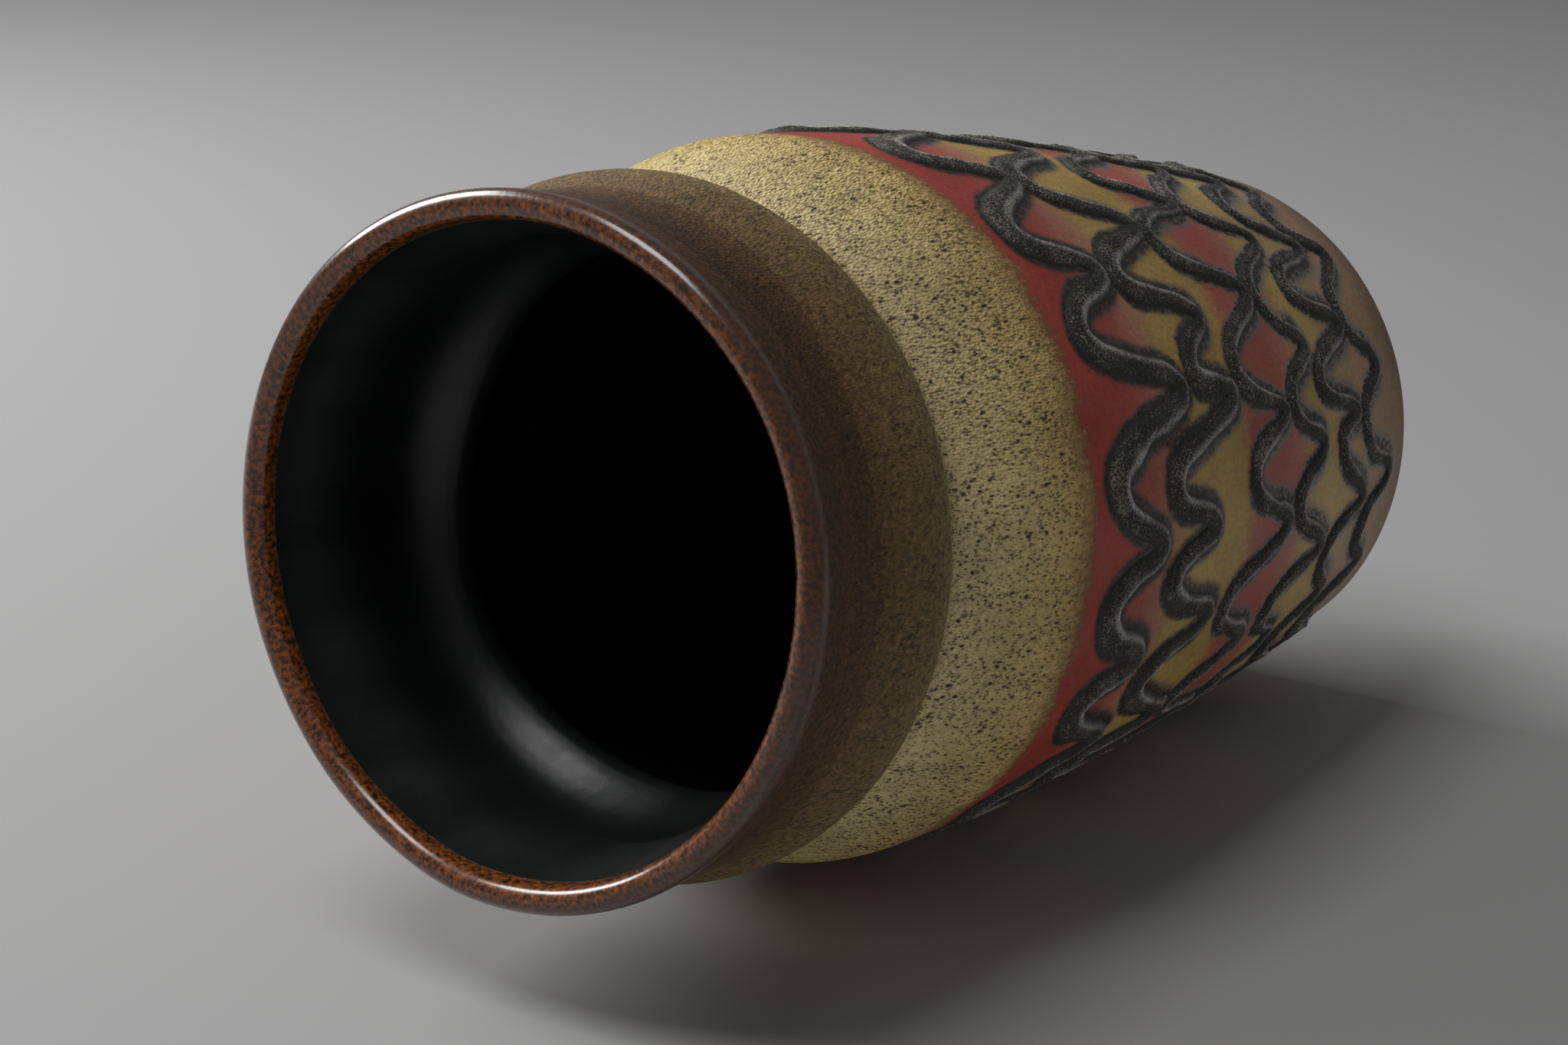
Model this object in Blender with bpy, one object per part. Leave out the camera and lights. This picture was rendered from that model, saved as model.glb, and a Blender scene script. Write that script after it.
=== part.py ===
"""Stoneware vase with trailed lava glaze: fired clay body, glaze coats and six lava trails.

Metres, +Z up. The foot stands on z = 0, and the vase's own axis is the Z axis.
"""
import math

import bpy
import numpy as np

MM = 0.001

# Driving sizes, in millimetres. Radii and heights are those of the finished, glazed surface.
# A drop is measured down from the lip's crest.
HEIGHT = 200.0
LIP_RADIUS = 49.2
LIP_THICKNESS = 4.3
NECK_DROP = 14.8
NECK_RADIUS = 49.3
COLLAR_DROP = 28.7
COLLAR_RADIUS = 52.4
GROOVE_DROP = 38.3
GROOVE_RADIUS = 48.4
BELLY_DROP = 61.0
BELLY_SWELL = 3.6
FOOT_RADIUS = 43.6
SHOULDER_CURVE = 1.15
BODY_CURVE = 1.6

GLAZE = 0.6
GAP = 0.3
WALL = 6.2
FLOOR_Z = 8.0
FLOOR_CORNER = 13.0
FOOT_HEIGHT = 5.0
FOOT_EDGE = 3.3
FOOT_RING_WIDTH = 6.5
FOOT_RECESS = 2.5
LIP_SKIRT = 8.0
LIP_INNER_SKIRT = 1.5

TRAIL_WIDTH = 4.6
TRAIL_TOP_WIDTH = 2.4
TRAIL_HEIGHT = 1.4
TRAIL_SPACE = 0.4
ARCH_WIDENING = 0.32
LOBE_ROUNDING = 0.16
SWAY = 1.3
UNEVEN = 0.035
SHRINK = 0.2
STATIONS_PER_LOBE = 16
LINE_POINTS_PER_LOBE = 64
SEGMENTS = 40

# The belly swells out past the collar, heights follow from the drops, and the coats lie on the clay.
BELLY_RADIUS = COLLAR_RADIUS + BELLY_SWELL
NECK_Z = HEIGHT - NECK_DROP
COLLAR_Z = HEIGHT - COLLAR_DROP
GROOVE_Z = HEIGHT - GROOVE_DROP
BELLY_Z = HEIGHT - BELLY_DROP
COAT = GLAZE + GAP

# Lower edges of the outside coats, as shares of the belly's height above the foot.
SHOULDER_END_Z = 0.978 * BELLY_Z
UPPER_RED_END_Z = 0.806 * BELLY_Z
UPPER_YELLOW_END_Z = 0.576 * BELLY_Z
MIDDLE_RED_END_Z = 0.403 * BELLY_Z
LOWER_YELLOW_END_Z = 0.23 * BELLY_Z
ROSE_END_Z = 0.094 * BELLY_Z

# The trails from the top down: the first one's mean height, half the height of each one's wave, its
# number of arches, and where round the axis its first arch stands, in degrees.
FIRST_TRAIL_Z = 0.852 * BELLY_Z
TRAIL_REACHES = tuple(share * BELLY_Z for share in (0.073, 0.068, 0.049, 0.036, 0.047, 0.04))
TRAIL_LOBES = (17, 19, 17, 17, 18, 16)
TRAIL_STARTS = (192.0, 189.0, 186.0, 177.0, 201.0, 190.0)


def lip_centre_z():
    """Height of the centre of the lip's half-round top."""
    return HEIGHT - LIP_THICKNESS / 2.0


def ease(start, end, share):
    """Cosine ease from start to end, for a share from 0 to 1."""
    return start + (end - start) * (0.5 - 0.5 * math.cos(math.pi * share))


def outer_radius(z):
    """Radius of the finished outside at height z: body, shoulder, groove, collar and neck."""
    if z <= BELLY_Z:
        share = (BELLY_Z - z) / BELLY_Z
        return BELLY_RADIUS - (BELLY_RADIUS - FOOT_RADIUS) * share**BODY_CURVE
    if z <= GROOVE_Z:
        share = (z - BELLY_Z) / (GROOVE_Z - BELLY_Z)
        return BELLY_RADIUS - (BELLY_RADIUS - GROOVE_RADIUS) * share**SHOULDER_CURVE
    if z <= COLLAR_Z:
        share = (COLLAR_Z - z) / (COLLAR_Z - GROOVE_Z)
        return COLLAR_RADIUS - (COLLAR_RADIUS - GROOVE_RADIUS) * share**2
    if z <= NECK_Z:
        share = (z - COLLAR_Z) / (NECK_Z - COLLAR_Z)
        return ease(COLLAR_RADIUS, NECK_RADIUS, share)
    share = min((z - NECK_Z) / (lip_centre_z() - NECK_Z), 1.0)
    return ease(NECK_RADIUS, LIP_RADIUS + LIP_THICKNESS / 2.0, share)


def inner_radius(z):
    """Radius of the finished inside at height z: the wall follows the outside and thins to the lip."""
    share = min(max((z - COLLAR_Z) / (lip_centre_z() - COLLAR_Z), 0.0), 1.0)
    radius = outer_radius(z) - ease(WALL, LIP_THICKNESS, share)
    if z < FLOOR_Z + FLOOR_CORNER:
        rise = (FLOOR_Z + FLOOR_CORNER - z) / FLOOR_CORNER
        radius -= FLOOR_CORNER * (1.0 - math.sqrt(max(1.0 - rise**2, 0.0)))
    return radius


def spread(low, high, count):
    """Evenly spaced heights from low to high, both included."""
    return [low + (high - low) * step / (count - 1) for step in range(count)]


def coat_edges():
    """Heights at which one outside coat ends and the next begins, from the foot to the lip."""
    return [
        FOOT_HEIGHT,
        ROSE_END_Z,
        LOWER_YELLOW_END_Z,
        MIDDLE_RED_END_Z,
        UPPER_YELLOW_END_Z,
        UPPER_RED_END_Z,
        SHOULDER_END_Z,
        GROOVE_Z,
        HEIGHT - LIP_SKIRT,
    ]


def outside_heights():
    """Heights of the outside's corner points, shared by the clay and every coat."""
    heights = coat_edges()[:-2]
    heights += spread(BELLY_Z, GROOVE_Z, 5)
    heights += spread(GROOVE_Z, COLLAR_Z, 4)[1:]
    heights += spread(COLLAR_Z, HEIGHT - LIP_SKIRT, 5)[1:]
    return heights


def inside_heights():
    """Heights of the inside's corner points, shared by the clay and the lining, from the lip down."""
    heights = spread(lip_centre_z() - LIP_INNER_SKIRT, COLLAR_Z, 4)
    heights += spread(COLLAR_Z, GROOVE_Z, 3)[1:]
    heights += spread(GROOVE_Z, BELLY_Z, 3)[1:]
    heights += [MIDDLE_RED_END_Z, FLOOR_Z + FLOOR_CORNER]
    heights += [FLOOR_Z + FLOOR_CORNER * share for share in (0.45, 0.13, 0.0)]
    return heights


def material(name, colour, roughness):
    """A plain Principled material with the given linear colour."""
    made = bpy.data.materials.new(name)
    made.use_nodes = True
    shader = made.node_tree.nodes["Principled BSDF"]
    shader.inputs["Base Color"].default_value = (*colour, 1.0)
    shader.inputs["Roughness"].default_value = roughness
    shader.inputs["Metallic"].default_value = 0.0
    return made


def solid(name, points, faces, finish):
    """Adds one closed mesh object, given points in millimetres."""
    mesh = bpy.data.meshes.new(name)
    mesh.from_pydata([tuple(point) for point in np.asarray(points) * MM], [], faces)
    mesh.materials.append(finish)
    mesh.validate()
    obj = bpy.data.objects.new(name, mesh)
    bpy.context.scene.collection.objects.link(obj)
    return obj


def turned(name, loop, finish):
    """Turns a loop of (radius, z) points about Z, given anticlockwise with the radius to the right.

    A loop that starts and ends on the axis makes a solid cup; any other loop makes a ring.
    """
    on_axis = loop[0][0] == 0.0
    rim = loop[1:-1] if on_axis else loop
    count = len(rim)
    angles = 2.0 * np.pi * np.arange(SEGMENTS) / SEGMENTS
    radii = np.array([point[0] for point in rim])
    heights = np.array([point[1] for point in rim])
    grid = np.empty((SEGMENTS, count, 3))
    grid[..., 0] = np.cos(angles)[:, None] * radii[None, :]
    grid[..., 1] = np.sin(angles)[:, None] * radii[None, :]
    grid[..., 2] = heights[None, :]
    points = grid.reshape(-1, 3).tolist()
    faces = []
    last = count - 1 if on_axis else count
    for turn in range(SEGMENTS):
        here = turn * count
        there = ((turn + 1) % SEGMENTS) * count
        for row in range(last):
            after = (row + 1) % count
            faces.append((here + row, there + row, there + after, here + after))
    if on_axis:
        start = len(points)
        points.append((0.0, 0.0, loop[0][1]))
        points.append((0.0, 0.0, loop[-1][1]))
        for turn in range(SEGMENTS):
            here = turn * count
            there = ((turn + 1) % SEGMENTS) * count
            faces.append((start, there, here))
            faces.append((start + 1, here + last, there + last))
    return solid(name, points, faces, finish)


def lip_arc(radius, count):
    """Points of the lip's half-round from its outer side over the crest to its inner side."""
    angles = spread(0.0, math.pi, count)
    return [
        (LIP_RADIUS + radius * math.cos(angle), lip_centre_z() + radius * math.sin(angle))
        for angle in angles
    ]


def clay_body(finish):
    """The fired body: foot ring, wall, shoulder, groove, collar, lip and flat inside floor."""
    loop = [(0.0, FOOT_RECESS)]
    stand = FOOT_RADIUS - FOOT_EDGE
    edge = outer_radius(FOOT_HEIGHT) - COAT
    loop.append((stand - FOOT_RING_WIDTH - FOOT_RECESS, FOOT_RECESS))
    loop.append((stand - FOOT_RING_WIDTH, 0.0))
    loop.append((stand, 0.0))
    for share in (0.45, 0.8):
        rise = FOOT_HEIGHT * (1.0 - math.sqrt(1.0 - share**2))
        loop.append((stand + (edge - stand) * share, rise))
    loop += [(outer_radius(z) - COAT, z) for z in outside_heights()]
    loop += lip_arc(LIP_THICKNESS / 2.0 - COAT, 5)
    loop += [(inner_radius(z) + COAT, z - (COAT if z == FLOOR_Z else 0.0)) for z in inside_heights()]
    loop.append((0.0, FLOOR_Z - COAT))
    return turned("clay_body", loop, finish)


def inner_glaze(finish):
    """The lining: a thin cup from just under the lip's coat down over the inside floor."""
    inside = inside_heights()
    wall = [(inner_radius(z) + GLAZE, z - (GLAZE if z == FLOOR_Z else 0.0)) for z in reversed(inside)]
    face = [(inner_radius(z), z) for z in inside]
    loop = [(0.0, FLOOR_Z - GLAZE)] + wall + face + [(0.0, FLOOR_Z)]
    return turned("inner_glaze", loop, finish)


def lip_glaze(finish):
    """The lip's coat: over the crest, with a skirt down the outside and a short one down the inside."""
    low_out = HEIGHT - LIP_SKIRT
    low_in = lip_centre_z() - LIP_INNER_SKIRT + GAP
    outer = lip_arc(LIP_THICKNESS / 2.0, 7)
    under = lip_arc(LIP_THICKNESS / 2.0 - GLAZE, 7)
    loop = [(outer_radius(low_out) - GLAZE, low_out), (outer_radius(low_out), low_out)]
    loop += outer
    loop += [(inner_radius(low_in), low_in), (inner_radius(low_in) + GLAZE, low_in)]
    loop += reversed(under)
    return turned("lip_glaze", loop, finish)


def coat(name, low, high, finish):
    """One outside coat between two heights, with half a gap to each neighbour."""
    heights = [low + GAP / 2.0]
    heights += [z for z in outside_heights() if low + GAP < z < high - GAP]
    heights.append(high - GAP / 2.0)
    loop = [(outer_radius(z), z) for z in heights]
    loop += [(outer_radius(z) - GLAZE, z) for z in reversed(heights)]
    return turned(name, loop, finish)


def trail_means():
    """Mean height of each trail: a trail's lowest point just clears the next one's highest."""
    means = [FIRST_TRAIL_Z]
    for above, below in zip(TRAIL_REACHES, TRAIL_REACHES[1:]):
        means.append(means[-1] - above - below - TRAIL_WIDTH - TRAIL_SPACE)
    return means


def trail_line(mean, reach, lobes, start):
    """Turns round the axis and heights along a trail's centre line.

    From its start the line turns by (a + ARCH_WIDENING * sin a + LOBE_ROUNDING * sin 2a) / lobes at wave
    angle a, which makes arches with narrow feet between them, and stands at mean + reach * cos a. A slow
    sway and an uneven spacing are shared by all trails, and a reach shrinks here and there.
    """
    wave = 2.0 * np.pi * np.arange(lobes * LINE_POINTS_PER_LOBE) / LINE_POINTS_PER_LOBE
    arch = ARCH_WIDENING * np.sin(wave) + LOBE_ROUNDING * np.sin(2.0 * wave)
    even = math.radians(start) + (wave + arch) / lobes
    turn = even + UNEVEN * (np.sin(3.0 * even + 0.5) + 0.4 * np.sin(5.0 * even) + 0.3 * np.sin(8.0 * even))
    sway = SWAY * (np.sin(2.0 * even + 0.6) + 0.6 * np.sin(5.0 * even))
    shrink = 1.0 - SHRINK * (0.5 + 0.5 * np.sin(5.0 * even + 2.0 * mean))
    return turn, mean + sway + reach * shrink * np.cos(wave)


def trail_edges(turn, height, angles, half_width):
    """Lowest and highest reach, at each angle, of a disc carried along a centre line."""
    radius = np.array([outer_radius(z) for z in height])
    apart = (angles[:, None] - turn[None, :] + np.pi) % (2.0 * np.pi) - np.pi
    inside = half_width**2 - (apart * radius) ** 2
    lift = np.sqrt(np.maximum(inside, 0.0))
    low = np.where(inside > 0.0, height - lift, np.inf).min(axis=1)
    high = np.where(inside > 0.0, height + lift, -np.inf).max(axis=1)
    return low, high


def trail(name, mean, reach, lobes, start, finish):
    """One lava trail laid round the body as a wave of arches: a low ridge on the finished glaze."""
    count = lobes * STATIONS_PER_LOBE
    angles = 2.0 * np.pi * np.arange(count) / count
    turn, height = trail_line(mean, reach, lobes, start)
    foot_low, foot_high = trail_edges(turn, height, angles, TRAIL_WIDTH / 2.0)
    top_low, top_high = trail_edges(turn, height, angles, TRAIL_TOP_WIDTH / 2.0)
    section = ((foot_high, GAP), (foot_low, GAP), (top_low, TRAIL_HEIGHT), (top_high, TRAIL_HEIGHT))
    corners = len(section)
    grid = np.empty((count, corners, 3))
    for corner, (z, lift) in enumerate(section):
        reach_out = np.array([outer_radius(level) for level in z]) + lift
        grid[:, corner, 0] = reach_out * np.cos(angles)
        grid[:, corner, 1] = reach_out * np.sin(angles)
        grid[:, corner, 2] = z
    faces = []
    for station in range(count):
        here = station * corners
        there = ((station + 1) % count) * corners
        for corner in range(corners):
            after = (corner + 1) % corners
            faces.append((here + corner, there + corner, there + after, here + after))
    return solid(name, grid.reshape(-1, 3).tolist(), faces, finish)


def build():
    """Clears the scene, then makes every piece of the vase."""
    for obj in list(bpy.data.objects):
        bpy.data.objects.remove(obj, do_unlink=True)
    clay_body(material("fired_clay", (0.42, 0.27, 0.17), 0.8))
    inner_glaze(material("black_lining", (0.012, 0.013, 0.011), 0.25))
    lip_glaze(material("brown_gloss", (0.045, 0.02, 0.01), 0.15))
    brown = material("olive_brown", (0.13, 0.085, 0.04), 0.4)
    speckled = material("speckled_yellow", (0.46, 0.35, 0.16), 0.6)
    red = material("coral_red", (0.32, 0.05, 0.035), 0.4)
    yellow = material("ochre_yellow", (0.42, 0.29, 0.09), 0.4)
    rose = material("rose_brown", (0.22, 0.1, 0.075), 0.5)
    foot = material("foot_brown", (0.09, 0.05, 0.03), 0.5)
    lava = material("lava_black", (0.025, 0.024, 0.022), 0.85)
    coat("collar_glaze", GROOVE_Z, HEIGHT - LIP_SKIRT, brown)
    coat("shoulder_glaze", SHOULDER_END_Z, GROOVE_Z, speckled)
    coat("upper_red_band", UPPER_RED_END_Z, SHOULDER_END_Z, red)
    coat("upper_yellow_band", UPPER_YELLOW_END_Z, UPPER_RED_END_Z, yellow)
    coat("middle_red_band", MIDDLE_RED_END_Z, UPPER_YELLOW_END_Z, red)
    coat("lower_yellow_band", LOWER_YELLOW_END_Z, MIDDLE_RED_END_Z, yellow)
    coat("rose_band", ROSE_END_Z, LOWER_YELLOW_END_Z, rose)
    coat("foot_glaze", FOOT_HEIGHT, ROSE_END_Z, foot)
    rows = zip(trail_means(), TRAIL_REACHES, TRAIL_LOBES, TRAIL_STARTS)
    for number, (mean, reach, lobes, start) in enumerate(rows, 1):
        trail(f"lava_trail_{number}", mean, reach, lobes, start, lava)


build()
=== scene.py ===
"""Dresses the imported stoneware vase: turned glaze coats, raised lava trails, lining and bare foot.

Every new mesh is a surface over two parameters, the angle round the vase's axis and the height above
its foot. Sizes are millimetres until a mesh is made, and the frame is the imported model's: +Z runs from
the foot to the mouth.
"""

from __future__ import annotations

import logging
import math
from collections.abc import Mapping, Sequence
from dataclasses import dataclass, field
from enum import Enum
from functools import cached_property

import bpy
import numpy as np
from mathutils import Matrix, Vector

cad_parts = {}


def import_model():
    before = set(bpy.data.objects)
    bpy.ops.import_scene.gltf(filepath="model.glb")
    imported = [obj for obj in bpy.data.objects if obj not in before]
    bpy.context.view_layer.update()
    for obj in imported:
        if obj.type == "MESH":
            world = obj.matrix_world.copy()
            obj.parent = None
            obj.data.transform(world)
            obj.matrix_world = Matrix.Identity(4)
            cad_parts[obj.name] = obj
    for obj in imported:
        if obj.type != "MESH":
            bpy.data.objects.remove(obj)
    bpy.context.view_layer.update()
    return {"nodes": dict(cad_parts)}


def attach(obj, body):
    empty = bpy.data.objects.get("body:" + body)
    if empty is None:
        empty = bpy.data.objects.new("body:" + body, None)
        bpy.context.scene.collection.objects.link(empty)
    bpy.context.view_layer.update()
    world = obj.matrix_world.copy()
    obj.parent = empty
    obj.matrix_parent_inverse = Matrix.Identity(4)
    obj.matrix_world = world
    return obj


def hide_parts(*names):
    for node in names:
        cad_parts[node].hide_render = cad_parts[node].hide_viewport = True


LOG = logging.getLogger("vase")
Array = np.ndarray
Material = bpy.types.Material
Socket = bpy.types.NodeSocket
Tree = bpy.types.NodeTree

MM = 0.001
FULL_TURN = 2.0 * math.pi
FLOOR_TOUCH = 0.01
BODY = "root"


class Slot(Enum):
    """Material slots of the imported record."""

    CLAY = "fired_clay"
    LINING = "black_lining"
    LIP = "brown_gloss"
    COLLAR = "olive_brown"
    SHOULDER = "speckled_yellow"
    RED = "coral_red"
    YELLOW = "ochre_yellow"
    ROSE = "rose_brown"
    FOOT = "foot_brown"
    LAVA = "lava_black"


def smoothstep(low: float | Array, high: float | Array, value: Array) -> Array:
    """Eases from 0 at low to 1 at high by 3t^2 - 2t^3.

    Args:
        low: Value at which the ease starts.
        high: Value at which it ends; it may be the smaller of the two.
        value: Values to ease.

    Returns:
        Shares from 0 to 1, shaped as value.
    """
    share = np.clip((value - low) / (high - low), 0.0, 1.0)
    return share * share * (3.0 - 2.0 * share)


def signed_turn(angle: Array) -> Array:
    """Brings angles to the range from minus to plus half a turn."""
    return np.mod(angle + math.pi, FULL_TURN) - math.pi


def cosine_ease(start: float, end: float, share: Array) -> Array:
    """Half a cosine wave from start to end, over a share clipped to 0 and 1."""
    return start + (end - start) * (0.5 - 0.5 * np.cos(np.pi * np.clip(share, 0.0, 1.0)))


@dataclass(frozen=True)
class SurfaceNoise:
    """Smooth value noise over the turned surface, seamless round the axis.

    Random values from -1 to 1 stand on a lattice of angle and height, and 3t^2 - 2t^3 blends the four
    round a point.
    """

    seed: int
    around: int
    pitch: float
    rows: int = 257
    first_row: float = 4.0

    def at(self, angle: Array, z: Array) -> Array:
        """Noise at the given places.

        Args:
            angle: Angles round the axis, in radians.
            z: Heights in millimetres.

        Returns:
            Values from -1 to 1.
        """
        lattice = np.random.default_rng(self.seed).uniform(-1.0, 1.0, (self.around, self.rows))
        across = np.mod(angle, FULL_TURN) / FULL_TURN * self.around
        up = z / self.pitch + self.first_row
        column = np.floor(across).astype(int)
        row = np.floor(up).astype(int)
        blend_across = smoothstep(0.0, 1.0, across - column)
        blend_up = smoothstep(0.0, 1.0, up - row)
        left, right = column % self.around, (column + 1) % self.around
        low, high = row % self.rows, (row + 1) % self.rows
        under = lattice[left, low] * (1.0 - blend_across) + lattice[right, low] * blend_across
        over = lattice[left, high] * (1.0 - blend_across) + lattice[right, high] * blend_across
        return under * (1.0 - blend_up) + over * blend_up


@dataclass(frozen=True)
class VaseShape:
    """Sizes of the finished vase in millimetres, and its turned outside and inside."""

    height: float = 200.0
    lip_radius: float = 49.2
    lip_thickness: float = 4.3
    neck_drop: float = 14.8
    neck_radius: float = 49.3
    collar_drop: float = 28.7
    collar_radius: float = 52.4
    groove_drop: float = 38.3
    groove_radius: float = 48.4
    belly_drop: float = 61.0
    belly_radius: float = 56.0
    foot_radius: float = 43.6
    shoulder_curve: float = 1.15
    body_curve: float = 1.6
    glaze: float = 0.6
    gap: float = 0.3
    wall: float = 6.2
    floor_z: float = 8.0
    floor_corner: float = 13.0
    foot_height: float = 5.0
    foot_edge: float = 3.3
    foot_ring_width: float = 6.5
    foot_recess: float = 2.5
    lip_skirt: float = 8.0
    lip_inner_skirt: float = 1.5
    outline_step: float = 0.1
    groove_softness: float = 0.9
    rim_sway: float = 0.45
    sway_phases: tuple[float, float] = (0.4, 1.9)
    sway_second: float = 0.6
    inner_softness: float = 1.5
    inner_ridge: float = 1.9
    inner_ridge_reach: float = 6.0
    pool: float = 2.0
    pools: int = 4
    pool_turn: float = -18.0

    @property
    def belly_z(self) -> float:
        """Height of the widest place."""
        return self.height - self.belly_drop

    @property
    def groove_z(self) -> float:
        """Height of the groove under the collar."""
        return self.height - self.groove_drop

    @property
    def collar_z(self) -> float:
        """Height of the collar's widest ring."""
        return self.height - self.collar_drop

    @property
    def lip_z(self) -> float:
        """Height of the centre of the lip's half-round crest."""
        return self.height - self.lip_thickness / 2.0

    @cached_property
    def outline(self) -> tuple[Array, Array]:
        """Heights and radii of the outside: body, shoulder, groove, collar and neck, with sharp corners.

        The body falls away from the belly by a power of the depth, the shoulder by another, the collar
        bulges by a square, and cosine eases join collar, neck and lip.

        Returns:
            Heights and radii in millimetres.
        """
        z = np.arange(0.0, self.height + self.outline_step, self.outline_step)
        neck_z = self.height - self.neck_drop
        body = self.belly_radius - (self.belly_radius - self.foot_radius) * np.clip(
            (self.belly_z - z) / self.belly_z, 0.0, 1.0
        ) ** self.body_curve
        shoulder = self.belly_radius - (self.belly_radius - self.groove_radius) * np.clip(
            (z - self.belly_z) / (self.groove_z - self.belly_z), 0.0, 1.0
        ) ** self.shoulder_curve
        under_collar = self.collar_radius - (self.collar_radius - self.groove_radius) * np.clip(
            (self.collar_z - z) / (self.collar_z - self.groove_z), 0.0, 1.0
        ) ** 2
        collar = cosine_ease(
            self.collar_radius, self.neck_radius, (z - self.collar_z) / (neck_z - self.collar_z)
        )
        lip_side = self.lip_radius + self.lip_thickness / 2.0
        neck = cosine_ease(self.neck_radius, lip_side, (z - neck_z) / (self.lip_z - neck_z))
        radius = np.select(
            [z <= self.belly_z, z <= self.groove_z, z <= self.collar_z, z <= neck_z],
            [body, shoulder, under_collar, collar],
            neck,
        )
        return z, radius

    def eased(self, softness: float) -> tuple[Array, Array]:
        """The outline with its corners rounded, as slip and thick glaze round them.

        Args:
            softness: Width of the Gaussian that rounds them.

        Returns:
            Heights and radii.
        """
        z, radius = self.outline
        reach = int(4.0 * softness / self.outline_step)
        offsets = np.arange(-reach, reach + 1) * self.outline_step
        kernel = np.exp(-0.5 * (offsets / softness) ** 2)
        padded = np.pad(radius, reach, mode="reflect", reflect_type="odd")
        return z, np.convolve(padded, kernel / kernel.sum(), mode="valid")

    @cached_property
    def outer_line(self) -> tuple[Array, Array]:
        """The outside's eased outline."""
        return self.eased(self.groove_softness)

    @cached_property
    def inner_line(self) -> tuple[Array, Array]:
        """The outline that the inside follows, softer for the thickness of the wall."""
        return self.eased(self.inner_softness)

    def outside(self, z: Array) -> Array:
        """Radius of the finished outside at heights z, before any relief."""
        return np.interp(z, *self.outer_line)

    def inside(self, z: Array) -> Array:
        """Radius of the finished inside: the outside less a wall that thins towards the lip.

        A ridge of poured glaze, inner_ridge high, stands on the wall opposite the groove.

        Args:
            z: Heights in millimetres, from the inside floor to the lip.

        Returns:
            Radii, drawn in by a quarter circle above the inside floor.
        """
        share = (z - self.collar_z) / (self.lip_z - self.collar_z)
        radius = np.interp(z, *self.inner_line) - cosine_ease(self.wall, self.lip_thickness, share)
        radius = radius - self.inner_ridge * np.exp(-(((z - self.groove_z) / self.inner_ridge_reach) ** 2))
        rise = np.clip((self.floor_z + self.floor_corner - z) / self.floor_corner, 0.0, 1.0)
        return radius - self.floor_corner * (1.0 - np.sqrt(1.0 - rise**2))

    def corner_heights(self, rows: int) -> Array:
        """Heights down the quarter circle above the inside floor, evenly spaced along it."""
        return self.floor_z + self.floor_corner * (1.0 - np.sin(np.linspace(0.0, np.pi / 2.0, rows)))

    def pooled(self, angle: Array, z: Array) -> Array:
        """How far the lining stands in where its glaze pooled on the ridge, in pools round the wall."""
        wave = 0.5 + 0.5 * np.cos(self.pools * (angle - math.radians(self.pool_turn)))
        return self.pool * wave * np.exp(-(((z - self.groove_z) / self.inner_ridge_reach) ** 2))

    def sway(self, angle: Array, z: Array) -> Array:
        """How far the hand-finished mouth stands out of round, growing from the groove to the lip.

        Args:
            angle: Angles round the axis, in radians.
            z: Heights in millimetres.

        Returns:
            Distances in millimetres, positive outward.
        """
        two, three = self.sway_phases
        wave = np.cos(2.0 * angle + two) + self.sway_second * np.cos(3.0 * angle + three)
        return self.rim_sway * smoothstep(self.groove_z, self.height, z) * wave


@dataclass(frozen=True)
class TrailOffsets:
    """Where places lie to each trail's centre line, one layer to a trail.

    inward is the distance in millimetres, positive under the arches and negative over them; lobe is 1
    where the line is on top of an arch and 0 where it is at its foot.
    """

    inward: Array
    lobe: Array


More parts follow.
